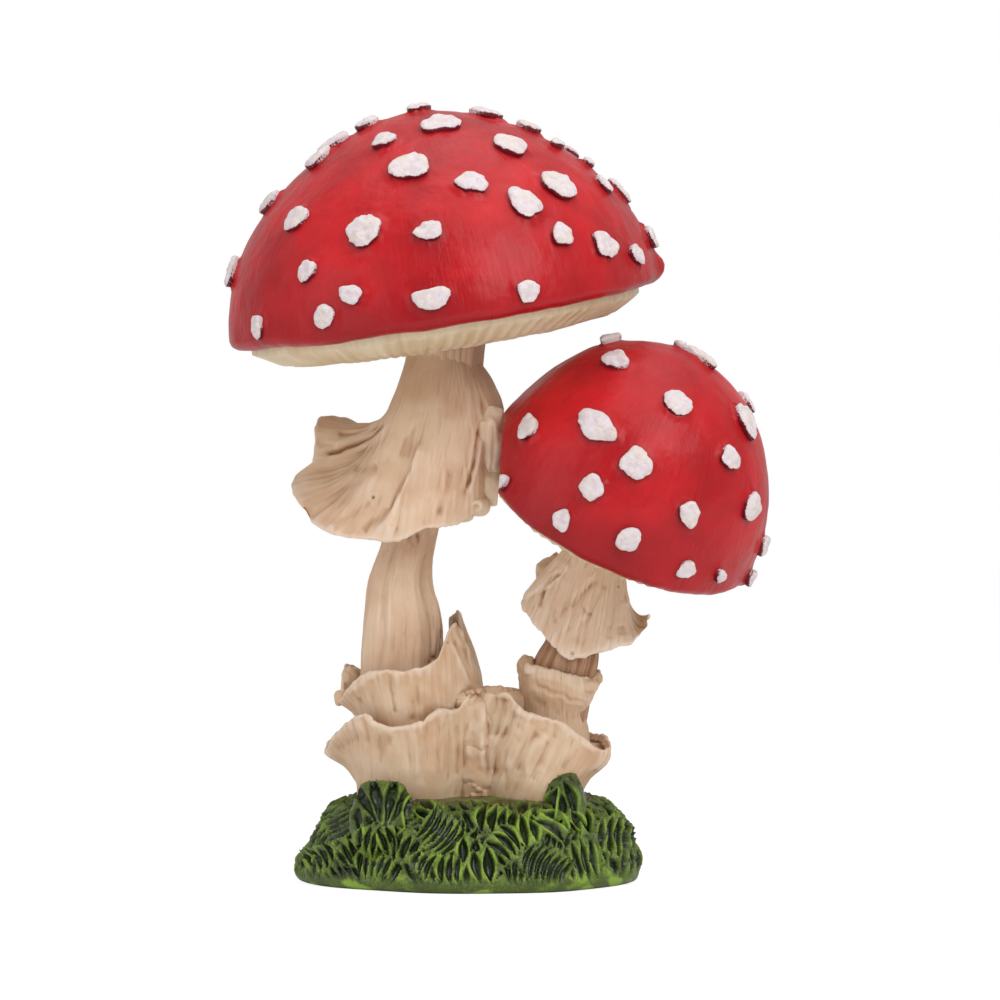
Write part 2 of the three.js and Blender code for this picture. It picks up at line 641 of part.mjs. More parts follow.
castRelief(bigDome, bigCap, bigCapRelief);
castRelief(smallDome, smallCap, smallCapRelief);
seat(mound, bigLower, smallLower, bigFootSteel, smallFootSteel);
seat(leftGrass, mound, bigLower, smallLower);
seat(rightGrass, mound, bigLower, smallLower);
seat(bigLower, bigStem, bigUpper);
seat(smallLower, smallStem, smallUpper, besideBigLower, besideBigUpper);
seat(bigUpper, bigStem);
seat(smallUpper, smallStem, besideBigUpper);
seat(bigRing, bigStem, capSide);
seat(smallRing, smallStem, smallPleats);
seat(bigStem, bigCapSteel, bigFootSteel);
seat(smallStem, smallCapSteel, smallFootSteel);
seat(bigPleats, bigStem, bigCapSteel);
seat(smallPleats, smallStem, smallCapSteel, skirtSide);
seat(bigDome, bigCapSteel);
seat(smallDome, smallCapSteel, skirtSide);

export default ornament;
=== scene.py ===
# Toadstool ornament: two red toadstools leaning together on a grassy mound, hand-painted cast polyresin.
# Sizes in the dictionaries are millimetres and degrees, and Blender works in metres.
import math
import random

import bpy
import numpy as np
from mathutils import Matrix, Vector, noise


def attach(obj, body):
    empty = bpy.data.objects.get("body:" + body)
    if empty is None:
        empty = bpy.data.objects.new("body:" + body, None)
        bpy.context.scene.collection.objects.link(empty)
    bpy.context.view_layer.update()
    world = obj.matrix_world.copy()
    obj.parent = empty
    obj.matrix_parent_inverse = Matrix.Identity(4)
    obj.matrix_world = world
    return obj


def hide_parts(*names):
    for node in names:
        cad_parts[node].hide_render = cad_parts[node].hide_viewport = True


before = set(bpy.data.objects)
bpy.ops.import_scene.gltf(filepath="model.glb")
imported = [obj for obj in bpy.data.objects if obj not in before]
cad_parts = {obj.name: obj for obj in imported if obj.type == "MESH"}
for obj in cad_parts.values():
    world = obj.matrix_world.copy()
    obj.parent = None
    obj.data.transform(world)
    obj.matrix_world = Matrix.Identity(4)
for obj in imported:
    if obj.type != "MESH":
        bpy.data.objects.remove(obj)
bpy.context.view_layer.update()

mm = 0.001


# Camera

photoCamera = {"eye": (9.41, -1000, 111.3), "lens": 122.4, "sensor": 36}

camera = bpy.data.objects.new("camera", bpy.data.cameras.new("camera"))
bpy.context.scene.collection.objects.link(camera)
camera.location = Vector(photoCamera["eye"]) * mm
camera.rotation_euler = (math.pi / 2, 0, 0)
camera.data.lens = photoCamera["lens"]
camera.data.sensor_width = photoCamera["sensor"]
camera.data.clip_start = 0.02
camera.data.clip_end = 30
bpy.context.scene.camera = camera


# Tools for materials

def hexColour(text):  # an sRGB hex value as the linear colour that shaders take
    parts = [int(text[index:index + 2], 16) / 255 for index in (0, 2, 4)]
    linear = [part / 12.92 if part <= 0.04045 else ((part + 0.055) / 1.055) ** 2.4 for part in parts]
    return (*linear, 1)


def fillSockets(tree, node, values):  # sets a node's sockets, or links them to other nodes' outputs
    for socket, value in values.items():
        if isinstance(value, bpy.types.NodeSocket):
            tree.links.new(value, node.inputs[socket])
        else:
            node.inputs[socket].default_value = value


def addNode(tree, kind, links=None, out=0, **settings):  # gives one output of the new node
    node = tree.nodes.new(kind)
    for setting, value in settings.items():
        setattr(node, setting, value)
    fillSockets(tree, node, links or {})
    return node.outputs[out] if len(node.outputs) else node


def newMaterial(name, roughness, ior):
    material = bpy.data.materials.new(name)
    material.use_nodes = True
    tree = material.node_tree
    shader = tree.nodes["Principled BSDF"]
    fillSockets(tree, shader, {"Roughness": roughness, "IOR": ior})
    return material, tree, shader


def perSize(size):  # the Mapping scale that makes a pattern's unit that many millimetres each way
    return (1 / (size * mm),) * 3


def layCoats(tree, first, *coats):  # the first colour, with each further coat laid over it by its share
    colour = hexColour(first)
    for share, coat in coats:
        colour = addNode(
            tree, "ShaderNodeMix", {0: share, 6: colour, 7: hexColour(coat)}, 2, data_type="RGBA")
    return colour


# Tools for meshes

def clearSelection():
    if bpy.context.object and bpy.context.object.mode != "OBJECT":
        bpy.ops.object.mode_set(mode="OBJECT")
    bpy.ops.object.select_all(action="DESELECT")


def pick(*pieces):
    clearSelection()
    for piece in pieces:
        piece.select_set(True)
    bpy.context.view_layer.objects.active = pieces[0]


def drum(name, around, rows):  # a closed cylinder of radius 1 and height 1, cut level into rows
    clearSelection()
    bpy.ops.mesh.primitive_cylinder_add(
        vertices=around, radius=1, depth=1, end_fill_type="TRIFAN", location=(0, 0, 0.5))
    piece = bpy.context.object
    piece.name = piece.data.name = name
    bpy.ops.object.transform_apply(location=True, rotation=True, scale=True)
    bpy.ops.object.mode_set(mode="EDIT")
    bpy.ops.mesh.select_mode(type="EDGE")
    bpy.ops.mesh.select_all(action="DESELECT")
    bpy.ops.object.mode_set(mode="OBJECT")
    for edge in piece.data.edges:
        low, high = (piece.data.vertices[index].co.z for index in edge.vertices)
        edge.select = abs(high - low) > 0.5
    bpy.ops.object.mode_set(mode="EDIT")
    bpy.ops.mesh.subdivide(number_cuts=rows - 1)
    bpy.ops.object.mode_set(mode="OBJECT")
    return piece


def readRows(items, field, width=3):  # one row of numbers for each vertex or value
    flat = np.empty(width * len(items), np.float32)
    items.foreach_get(field, flat)
    return flat.reshape(-1, width).astype(float)


def readPoints(piece):
    return readRows(piece.data.vertices, "co")


def readNormals(piece):
    return readRows(piece.data.vertices, "normal")


def writePoints(piece, points):  # points in millimetres
    piece.data.vertices.foreach_set("co", (np.asarray(points) * mm).astype(np.float32).ravel())
    piece.data.update()


def edgeEnds(piece):  # the vertex at each end of every edge
    ends = np.empty(2 * len(piece.data.edges), np.int64)
    piece.data.edges.foreach_get("vertices", ends)
    return ends.reshape(-1, 2).T


def setAttribute(piece, name, values):
    values = np.asarray(values, np.float32)
    kind, field = ("FLOAT_VECTOR", "vector") if values.ndim == 2 else ("FLOAT", "value")
    attribute = piece.data.attributes.get(name) or piece.data.attributes.new(name, kind, "POINT")
    attribute.data.foreach_set(field, values.ravel())


def bumps(points, size, seed=0):  # smooth noise from about -1 to 1, its lumps that many millimetres across
    return np.array([noise.noise(point) for point in (np.asarray(points) / size + 13.7 * seed).tolist()])


def ridges(points, size, seed=0):  # noise with narrow crests at 1 and broad valleys
    return 1 - 2 * np.abs(bumps(points, size, seed))


def easeStep(values, low, high):  # 0 up to the low value, 1 from the high one, smooth between
    share = np.clip((values - low) / (high - low), 0, 1)
    return share * share * (3 - 2 * share)


def smoothTable(stations, at, circle=None):  # smooth values through [place, value, ...] rows
    places = np.array([row[0] for row in stations], float)
    values = np.array([row[1:] for row in stations], float)
    at = np.asarray(at, float)
    if circle:
        places = np.concatenate([places[-2:] - circle, places, places[:2] + circle])
        values = np.concatenate([values[-2:], values, values[:2]])
        at = at % circle
    slopes = np.gradient(values, places, axis=0)
    low = np.clip(np.searchsorted(places, at) - 1, 0, len(places) - 2)
    span = (places[low + 1] - places[low])[:, None]
    share = np.clip((at - places[low])[:, None] / span, 0, 1)
    ease = share * share * (3 - 2 * share)
    leaving = slopes[low] * span * share * (1 - share) ** 2
    arriving = slopes[low + 1] * span * share ** 2 * (share - 1)
    return (values[low] * (1 - ease) + values[low + 1] * ease + leaving + arriving).T


def push(piece, heights):  # moves each vertex along its normal
    writePoints(piece, readPoints(piece) / mm + readNormals(piece) * np.asarray(heights)[:, None])


def smoothed(points, first, second, passes):  # each pass moves a point halfway to its neighbours' middle
    total = len(points)
    neighbours = np.bincount(first, minlength=total) + np.bincount(second, minlength=total)
    for _ in range(passes):
        sums = np.stack([
            np.bincount(first, points[second, axis], total) + np.bincount(second, points[first, axis], total)
            for axis in range(3)], axis=1)
        points = 0.5 * points + 0.5 * sums / np.maximum(neighbours, 1)[:, None]
    return points


def washHollows(piece, reach, depth):  # paint wash: 1 in hollows that deep, below 0 on ridges
    points = readPoints(piece) / mm
    first, second = edgeEnds(piece)
    edge = np.median(np.linalg.norm(points[first] - points[second], axis=1))
    passes = int(np.clip((reach / edge) ** 2, 2, 60))
    below = ((smoothed(points, first, second, passes) - points) * readNormals(piece)).sum(axis=1)
    setAttribute(piece, "wash", np.clip(below / depth, -0.6, 1))


def fixNormals(piece):
    pick(piece)
    bpy.ops.object.mode_set(mode="EDIT")
    bpy.ops.mesh.select_all(action="SELECT")
    bpy.ops.mesh.normals_make_consistent(inside=False)
    bpy.ops.object.mode_set(mode="OBJECT")


def joinPieces(name, pieces):
    pick(*pieces)
    if len(pieces) > 1:
        bpy.ops.object.join()
    pieces[0].name = pieces[0].data.name = name
    return pieces[0]


def finishPiece(piece, material, slot, *nodes):
    fixNormals(piece)
    bpy.ops.object.shade_smooth()
    piece.data.materials.clear()
    piece.data.materials.append(material)
    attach(piece, "root")
    if nodes:
        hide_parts(*nodes)


def seenFromFront(points):  # where the camera sees them in the plane through the middle, as x and z
    eyeX, eyeY, eyeZ = photoCamera["eye"]
    share = -eyeY / (points[:, 1] - eyeY)
    return eyeX + (points[:, 0] - eyeX) * share, eyeZ + (points[:, 2] - eyeZ) * share


strokeEdge = {"wander": 0.3, "wanderLength": 2.5, "bank": 0.22}  # the bank is thrown up beside a line


def pathDistance(seen, path):  # from each point to a path: how far, on which side, and where along it
    rows = [[step, *place] for step, place in enumerate(path)]
    stops = np.linspace(0, len(path) - 1, 6 * len(path)) if len(path) > 1 else np.zeros(2)
    curve = smoothTable(rows, stops).T if len(path) > 1 else np.repeat(path, 2, axis=0)
    away = np.full(len(seen), 1e9)
    side = np.zeros(len(seen))
    along = np.zeros(len(seen))
    for number, (start, end) in enumerate(zip(curve, curve[1:])):
        way = end - start
        span = max(way @ way, 1e-9)
        off = seen - start
        part = np.clip(off @ way / span, 0, 1)
        gap = np.linalg.norm(off - part[:, None] * way, axis=1)
        closer = gap < away
        away[closer] = gap[closer]
        side[closer] = np.sign(way[0] * off[closer, 1] - way[1] * off[closer, 0])
        along[closer] = (number + part[closer]) / (len(curve) - 1)
    return away, side, along


def carve(piece, strokes):
    # Tool strokes on the front of a form. Each row is its height, its half width, and x and z of every place
    # on its path as seen from the front. A line is a ridge, or a groove if its height is negative. A pit is a
    # dent at one place, and a step is raised on its path's left.
    points = readPoints(piece) / mm
    seen = np.column_stack(seenFromFront(points))
    wobble = strokeEdge["wander"] * bumps(points, strokeEdge["wanderLength"], 31)
    front = easeStep(-readNormals(piece)[:, 1], -0.05, 0.25)
    relief = np.zeros(len(points))
    for kind, rows in strokes.items():
        for height, width, *path in rows:
            path = np.reshape(np.array(path, float), (-1, 2))
            reach = 7 * width + 1
            low, high = path.min(axis=0) - reach, path.max(axis=0) + reach
            near = np.nonzero((front > 0) & np.all((seen > low) & (seen < high), axis=1))[0]
            if len(near) == 0:
                continue
            away, side, along = pathDistance(seen[near], path)
            if kind != "pits":
                away = away * side + wobble[near]
            if kind == "steps":
                shape = easeStep(away, -0.5 * width, 0.5 * width) * np.exp(-np.maximum(away, 0) / (3 * width))
            else:
                bank = np.exp(-((np.abs(away) - 2 * width) / width) ** 2)
                shape = np.exp(-(away / width) ** 2) + strokeEdge["bank"] * np.sign(height) * bank
            fade = easeStep(along, -0.02, 0.1) * (1 - easeStep(along, 0.9, 1.02)) if len(path) > 1 else 1
            relief[near] += height * shape * fade * front[near]
    push(piece, relief)


# Stage: pale floor, soft boxes and white surroundings

studio = {
    "floor": "f4f4f4",
    "floorWidth": 9000,
    "glow": 1.12,  # what the camera sees of the floor is mostly an even glow, and the rest is lit paper
    "glowShare": 0.82,
    "surround": 0.6,  # how strongly the white surroundings light the ornament
    "front": 0.35,  # and the darker part of them behind the camera, against that
    "lamps": [  # name, where it stands, width, height, watts
        ("key", (520, -760, 760), 760, 760, 8),
        ("fill", (-820, -620, 420), 900, 900, 3.4),
        ("top", (60, -60, 1050), 900, 900, 4.2),
    ],
    "aim": (9, 0, 120),
}
white = hexColour("ffffff")


def seenDirectly(tree):  # 1 for rays from the camera, or through glass
    camera = addNode(tree, "ShaderNodeLightPath", out="Is Camera Ray")
    return addNode(tree, "ShaderNodeMath", {
        0: camera, 1: camera.node.outputs["Is Transmission Ray"]}, operation="MAXIMUM")


def buildStage():
    clearSelection()
    bpy.ops.mesh.primitive_plane_add(size=studio["floorWidth"] * mm, location=(0, 0, 0))
    floor = bpy.context.object
    floor.name = floor.data.name = "floor"
    material = bpy.data.materials.new("matt white paper")
    material.use_nodes = True
    tree = material.node_tree
    tree.nodes.clear()
    paper = addNode(tree, "ShaderNodeBsdfDiffuse", {"Color": hexColour(studio["floor"])})
    glow = addNode(tree, "ShaderNodeEmission", {"Color": white, "Strength": studio["glow"]})
    bright = addNode(tree, "ShaderNodeMixShader", {0: studio["glowShare"], 1: paper, 2: glow})
    shown = addNode(tree, "ShaderNodeMixShader", {0: seenDirectly(tree), 1: paper, 2: bright})
    addNode(tree, "ShaderNodeOutputMaterial", {"Surface": shown})
    floor.data.materials.append(material)

    world = bpy.data.worlds.new("white studio")
    bpy.context.scene.world = world
    world.use_nodes = True
    tree = world.node_tree
    tree.nodes.clear()
    way = addNode(tree, "ShaderNodeTexCoord", out="Generated")
    back = addNode(tree, "ShaderNodeSeparateXYZ", {"Vector": way}, "Y")
    strength = addNode(tree, "ShaderNodeMapRange", {
        0: back, 1: -0.8, 2: 0.2, 3: studio["surround"] * studio["front"], 4: studio["surround"]},
        interpolation_type="SMOOTHSTEP")
    light = addNode(tree, "ShaderNodeBackground", {"Color": white, "Strength": strength})
    seen = addNode(tree, "ShaderNodeBackground", {"Color": white, "Strength": 1})
    both = addNode(tree, "ShaderNodeMixShader", {0: seenDirectly(tree), 1: light, 2: seen})
    addNode(tree, "ShaderNodeOutputWorld", {"Surface": both})

    for name, place, wide, high, watts in studio["lamps"]:
        lamp = bpy.data.objects.new(name, bpy.data.lights.new(name, "AREA"))
        bpy.context.scene.collection.objects.link(lamp)
        lamp.data.shape = "RECTANGLE"
        lamp.data.size = wide * mm
        lamp.data.size_y = high * mm
        lamp.data.energy = watts
        lamp.location = Vector(place) * mm
        lamp.rotation_euler = (Vector(studio["aim"]) * mm - lamp.location).to_track_quat("-Z", "Y").to_euler()
    bpy.context.scene.view_settings.view_transform = "Standard"


buildStage()
print("stage set")


# Materials. The paints are acrylics on cast polyester resin, which is a hard dense plastic: no metal,
# IOR about 1.5, and a sheen that depends on the varnish. Noise runs from about 0.3 to 0.7, so its ranges
# lie there.

soft = {"Scale": 1, "Detail": 2}  # noise of even lumps
broken = {"Scale": 1, "Detail": 3, "Roughness": 0.6}  # noise with ragged edges

capPaint = {  # two brushed coats of red under gloss varnish: deep colour and broken, soft highlights
    "red": "b4181e",
    # also the colour of the painted shade towards the rim and round the warts' feet
    "deep": "8a1016",
    "bright": "c41c22",
    "shine": 0.22,  # specular level
    "sheen": (0.26, 0.44),  # roughness along the strokes
    "patch": 26,
    "lump": 4,
    "lumpHeight": 0.6,
    "stroke": 0.8,
    "strokeLength": 9,
    "strokeHeight": 0.2,
}

veilPaint = {  # brown wash wiped off cream, then dry-brushed: satin, pale ridges and dark hollows
    "patch": 14,
    "streak": 1.5,
    "streakLength": 22,
    "streakHeight": 0.3,
    "tooth": 0.5,
    "toothHeight": 0.12,
}

veilTones = [  # what it is, its light and middle tones, the wash, the dry-brushed ridges and the roughness
    ("cream acrylic with a brown wash in the pleats", "cfbc9c", "c4aa84", "a3845c", "dccdb2", 0.5),
    ("tan-cream acrylic, washed and dry-brushed", "d6b99c", "cba687", "8f5f38", "e0cab6", 0.48),
    # The small skirt's cream is paler than the big skirt's, as painted light against the shade that the small
    # cap throws on it.
    ("pale cream acrylic, lightly washed", "dfc3a8", "d6b497", "9a6a44", "e8d6c5", 0.48),
    ("pale resin filler, washed", "dec7ac", "d8bd9e", "94623a", "eadcc8", 0.45),
    ("tan acrylic with a heavy brown wash", "d2b698", "c5a07e", "84532d", "decab6", 0.48),
]

wartPaint = {  # thick chalky white dabbed on the lumps over the red: matt, rough and faintly pink
    "white": "d3c9cb",
    "pink": "c3afb6",
    "ivory": "d2c6b6",
    # dark red of the warts' sides, made deeper on their lower sides as painted shade
    "edge": "640f1e",
    "dab": 1.8,
    "dabHeight": 0.6,
    "blot": 3.96,
    "tooth": 0.5,
    "toothHeight": 0.2,
}

grassPaint = {  # black-green under gloss varnish, with lime dragged across the crests by a dry brush
    "dark": "1b270f",
    "leaf": "4b5b22",
    "lime": "84a238",
    "earth": "4a3826",
    "shine": 0.36,
    "patch": 9,
    "tooth": 0.7,
    "toothHeight": 0.2,
}

pinSteel = {  # cold-drawn rod: grey metal with a fine drawn grain, dull where it was handled
    "grey": "a5a5a5",
    "grain": 0.4,  # coarser than a real rod's, so that it shows
    "grainHeight": 0.05,
}


def brushedRedEnamel():
    material, tree, shader = newMaterial("brushed red acrylic under gloss varnish", 0.3, 1.5)
    place = addNode(tree, "ShaderNodeTexCoord", out="Object")
    patchPlace = addNode(tree, "ShaderNodeMapping", {"Vector": place, "Scale": perSize(capPaint["patch"])})
    patches = addNode(tree, "ShaderNodeTexNoise", {**broken, "Vector": patchPlace})
    patchShare = addNode(tree, "ShaderNodeMapRange", {0: patches, 1: 0.35, 2: 0.65})
    # The last coat darkens the red by the shade attribute: painted shade towards the rim, and wash with
    # painted shade round the warts' feet.
    shade = addNode(tree, "ShaderNodeAttribute", out="Fac", attribute_name="shade")
    shadeShare = addNode(tree, "ShaderNodeMath", {0: shade, 1: 0.75}, operation="MULTIPLY")
    colour = layCoats(
        tree, capPaint["deep"], (patchShare, capPaint["bright"]), (0.4, capPaint["red"]),
        (shadeShare, capPaint["deep"]))
    brush = addNode(tree, "ShaderNodeAttribute", out="Vector", attribute_name="brush")
    thin, length = 1 / capPaint["stroke"], 1 / capPaint["strokeLength"]
    strokePlace = addNode(tree, "ShaderNodeMapping", {"Vector": brush, "Scale": (thin, thin, length)})
    strokes = addNode(tree, "ShaderNodeTexNoise", {**broken, "Vector": strokePlace})
    lumpPlace = addNode(tree, "ShaderNodeMapping", {"Vector": place, "Scale": perSize(capPaint["lump"])})
    lumps = addNode(tree, "ShaderNodeTexNoise", {**soft, "Vector": lumpPlace})
    lumpy = addNode(tree, "ShaderNodeBump", {
        "Height": lumps, "Strength": 0.5, "Distance": capPaint["lumpHeight"] * mm})
    brushed = addNode(tree, "ShaderNodeBump", {
        "Height": strokes, "Strength": 0.5, "Distance": capPaint["strokeHeight"] * mm, "Normal": lumpy})
    glossy, dull = capPaint["sheen"]
    sheen = addNode(tree, "ShaderNodeMapRange", {0: strokes, 1: 0.3, 2: 0.7, 3: glossy, 4: dull})
    fillSockets(tree, shader, {
        "Base Color": colour, "Normal": brushed, "Roughness": sheen, "Specular IOR Level": capPaint["shine"]})
    return material


def washedVeil(name, light, middle, wash, ridge, roughness):
    # Patches of two tones, brown in the hollows and pale on the ridges, with fine streaks down the flow.
    material, tree, shader = newMaterial(name, roughness, 1.5)
    place = addNode(tree, "ShaderNodeTexCoord", out="Object")
    patchPlace = addNode(tree, "ShaderNodeMapping", {"Vector": place, "Scale": perSize(veilPaint["patch"])})
    patches = addNode(tree, "ShaderNodeTexNoise", {**broken, "Vector": patchPlace, "Roughness": 0.55})
    patchShare = addNode(tree, "ShaderNodeMapRange", {0: patches, 1: 0.38, 2: 0.62})
    flow = addNode(tree, "ShaderNodeAttribute", out="Vector", attribute_name="flow")
    thin, length = 1 / veilPaint["streak"], 1 / veilPaint["streakLength"]
    streakPlace = addNode(tree, "ShaderNodeMapping", {"Vector": flow, "Scale": (thin, thin, length)})
    streaks = addNode(tree, "ShaderNodeTexNoise", {
        "Vector": streakPlace, "Scale": 1, "Detail": 4, "Roughness": 0.65})
    toothPlace = addNode(tree, "ShaderNodeMapping", {"Vector": place, "Scale": perSize(veilPaint["tooth"])})
    tooth = addNode(tree, "ShaderNodeTexNoise", {**soft, "Vector": toothPlace})
    hollow = addNode(tree, "ShaderNodeAttribute", out="Fac", attribute_name="wash")
    streakShare = addNode(tree, "ShaderNodeMapRange", {0: streaks, 1: 0.35, 2: 0.65, 3: -0.18, 4: 0.18})
    ruffled = addNode(tree, "ShaderNodeMath", {0: hollow, 1: streakShare}, operation="ADD")
    washShare = addNode(tree, "ShaderNodeMapRange", {0: ruffled, 1: 0.08, 2: 0.95})
    ridgeShare = addNode(tree, "ShaderNodeMapRange", {0: ruffled, 1: -0.12, 2: -0.8, 3: 0, 4: 0.85})
    colour = layCoats(tree, middle, (patchShare, light), (washShare, wash), (ridgeShare, ridge))
    streaked = addNode(tree, "ShaderNodeBump", {
        "Height": streaks, "Strength": 0.35, "Distance": veilPaint["streakHeight"] * mm})
    rough = addNode(tree, "ShaderNodeBump", {
        "Height": tooth, "Strength": 0.2, "Distance": veilPaint["toothHeight"] * mm, "Normal": streaked})
    sheen = addNode(tree, "ShaderNodeMapRange", {
        0: tooth, 1: 0.3, 2: 0.7, 3: roughness - 0.08, 4: roughness + 0.1})
    fillSockets(tree, shader, {"Base Color": colour, "Normal": rough, "Roughness": sheen})
    return material


def chalkyWhite():
    material, tree, shader = newMaterial("dabbed chalky white acrylic", 0.75, 1.48)
    place = addNode(tree, "ShaderNodeTexCoord", out="Object")
    dabPlace = addNode(tree, "ShaderNodeMapping", {"Vector": place, "Scale": perSize(wartPaint["dab"])})
    dabs = addNode(tree, "ShaderNodeTexNoise", {**broken, "Vector": dabPlace})
    dabShare = addNode(tree, "ShaderNodeMapRange", {0: dabs, 1: 0.45, 2: 0.75, 3: 0, 4: 0.8})
    blotPlace = addNode(tree, "ShaderNodeMapping", {"Vector": place, "Scale": perSize(wartPaint["blot"])})
    blots = addNode(tree, "ShaderNodeTexNoise", {**soft, "Vector": blotPlace, "Detail": 1})
    blotShare = addNode(tree, "ShaderNodeMapRange", {0: blots, 1: 0.45, 2: 0.7, 3: 0, 4: 0.7})
    toothPlace = addNode(tree, "ShaderNodeMapping", {"Vector": place, "Scale": perSize(wartPaint["tooth"])})
    tooth = addNode(tree, "ShaderNodeTexNoise", {**soft, "Vector": toothPlace, "Detail": 3})
    toothShare = addNode(tree, "ShaderNodeMapRange", {0: tooth, 1: 0.3, 2: 0.7, 3: -0.25, 4: 0.25})
    hollow = addNode(tree, "ShaderNodeAttribute", out="Fac", attribute_name="wash")
    hollowShare = addNode(tree, "ShaderNodeMapRange", {0: hollow, 1: 0.25, 2: 1, 3: 0, 4: 0.5})
    # Dark red at the edge: the red coat on the wart's sides, with painted shade on its lower side.
    edge = addNode(tree, "ShaderNodeAttribute", out="Fac", attribute_name="edge")
    ragged = addNode(tree, "ShaderNodeMath", {0: edge, 1: toothShare}, operation="ADD")
    edgeShare = addNode(tree, "ShaderNodeMapRange", {0: ragged, 1: 0.42, 2: 0.58})
    colour = layCoats(
        tree, wartPaint["white"], (blotShare, wartPaint["ivory"]), (dabShare, wartPaint["pink"]),
        (hollowShare, wartPaint["pink"]), (edgeShare, wartPaint["edge"]))
    dabbed = addNode(tree, "ShaderNodeBump", {
        "Height": dabs, "Strength": 0.7, "Distance": wartPaint["dabHeight"] * mm})
    fine = addNode(tree, "ShaderNodeBump", {
        "Height": tooth, "Strength": 0.5, "Distance": wartPaint["toothHeight"] * mm, "Normal": dabbed})
    sheen = addNode(tree, "ShaderNodeMapRange", {0: ragged, 1: 0.42, 2: 0.58, 3: 0.75, 4: 0.3})
    fillSockets(tree, shader, {"Base Color": colour, "Normal": fine, "Roughness": sheen})
    return material


def dryBrushedGrass():
    material, tree, shader = newMaterial("black-green acrylic dry-brushed with lime", 0.28, 1.5)
    place = addNode(tree, "ShaderNodeTexCoord", out="Object")
    patchPlace = addNode(tree, "ShaderNodeMapping", {"Vector": place, "Scale": perSize(grassPaint["patch"])})
    patches = addNode(tree, "ShaderNodeTexNoise", {**soft, "Vector": patchPlace})
    patchShare = addNode(tree, "ShaderNodeMapRange", {0: patches, 1: 0.3, 2: 0.7, 3: -0.22, 4: 0.22})
    toothPlace = addNode(tree, "ShaderNodeMapping", {"Vector": place, "Scale": perSize(grassPaint["tooth"])})
    tooth = addNode(tree, "ShaderNodeTexNoise", {**broken, "Vector": toothPlace})
    toothShare = addNode(tree, "ShaderNodeMapRange", {0: tooth, 1: 0.3, 2: 0.7, 3: -0.18, 4: 0.18})
    crest = addNode(tree, "ShaderNodeAttribute", out="Fac", attribute_name="crest")
    dragged = addNode(tree, "ShaderNodeMath", {0: crest, 1: toothShare}, operation="ADD")
    heavy = addNode(tree, "ShaderNodeMath", {0: dragged, 1: patchShare}, operation="ADD")
    leafShare = addNode(tree, "ShaderNodeMapRange", {0: heavy, 1: -0.5, 2: 0.08})
    limeShare = addNode(tree, "ShaderNodeMapRange", {0: heavy, 1: 0.14, 2: 0.72})
    earth = addNode(tree, "ShaderNodeAttribute", out="Fac", attribute_name="earth")
    earthShare = addNode(tree, "ShaderNodeMath", {0: earth, 1: 0.8}, operation="MULTIPLY")
    colour = layCoats(
        tree, grassPaint["dark"], (leafShare, grassPaint["leaf"]), (limeShare, grassPaint["lime"]),
        (earthShare, grassPaint["earth"]))
    fine = addNode(tree, "ShaderNodeBump", {
        "Height": tooth, "Strength": 0.35, "Distance": grassPaint["toothHeight"] * mm})
    sheen = addNode(tree, "ShaderNodeMapRange", {0: heavy, 1: -0.2, 2: 0.6, 3: 0.26, 4: 0.5})
    fillSockets(tree, shader, {
        "Base Color": colour, "Normal": fine, "Roughness": sheen, "Specular IOR Level": grassPaint["shine"]})
    return material


def drawnSteel():
    material, tree, shader = newMaterial("drawn steel rod", 0.35, 1.5)
    place = addNode(tree, "ShaderNodeTexCoord", out="Object")
    drawnPlace = addNode(tree, "ShaderNodeMapping", {"Vector": place, "Scale": perSize(pinSteel["grain"])})
    drawn = addNode(tree, "ShaderNodeTexNoise", {**soft, "Vector": drawnPlace})
    lines = addNode(tree, "ShaderNodeBump", {
        "Height": drawn, "Strength": 0.2, "Distance": pinSteel["grainHeight"] * mm})
    sheen = addNode(tree, "ShaderNodeMapRange", {0: drawn, 1: 0.3, 2: 0.7, 3: 0.28, 4: 0.42})
    fillSockets(tree, shader, {
        "Metallic": 1, "Base Color": hexColour(pinSteel["grey"]), "Normal": lines, "Roughness": sheen})
    return material


redEnamel = brushedRedEnamel()
gillCream, stemCream, paintedLightSkirtCream, webCream, cupTan = (washedVeil(*tones) for tones in veilTones)
wartWhite = chalkyWhite()
grassGreen = dryBrushedGrass()
rodSteel = drawnSteel()
print("materials ready")


# Turned forms: a drum whose every column gets its own profile

def turnedForm(name, around, segments):
    # Each segment is a number of rows and the profile that they follow. Gives the piece and, for each of its
    # vertices, the degrees round, the row, the radius and the height.
    rows = sum(count for count, line in segments)
    piece = drum(name, around, rows)
    points = readPoints(piece)
    centre = np.hypot(points[:, 0], points[:, 1]) < 0.5
    column = np.rint(np.arctan2(points[:, 1], points[:, 0]) / (2 * math.pi) * around).astype(int) % around
    level = np.rint(points[:, 2] * rows).astype(int)
    grid = np.empty((around, rows + 1, 2))
    start = 0
    for count, line in segments:
        steps = np.linalg.norm(np.diff(line, axis=0), axis=2)
        reach = np.concatenate([np.zeros((1, around)), np.cumsum(steps, axis=0)])
        for side in range(around):
            places = np.linspace(0, reach[-1, side], count + 1)
            for axis in range(2):
                along = np.interp(places, reach[:, side], line[:, side, axis])
                grid[side, start:start + count + 1, axis] = along
        start += count
    turns = column * 360 / around
    radius = np.where(centre, 0, grid[column, level, 0])
    height = np.where(centre, grid[:, :, 1].mean(axis=0)[level], grid[column, level, 1])
    return piece, np.where(centre, 0, turns), level, radius, height


def profile(around, *stations):  # [radius, height] stations, each a number or one value for every column
    rows = [[np.broadcast_to(value, around) for value in station] for station in stations]
    return np.array(rows).transpose(0, 2, 1)


def around360(count):
    return np.arange(count) * 360 / count


def polar(radius, turns):  # x and y
    return radius * np.cos(np.radians(turns)), radius * np.sin(np.radians(turns))


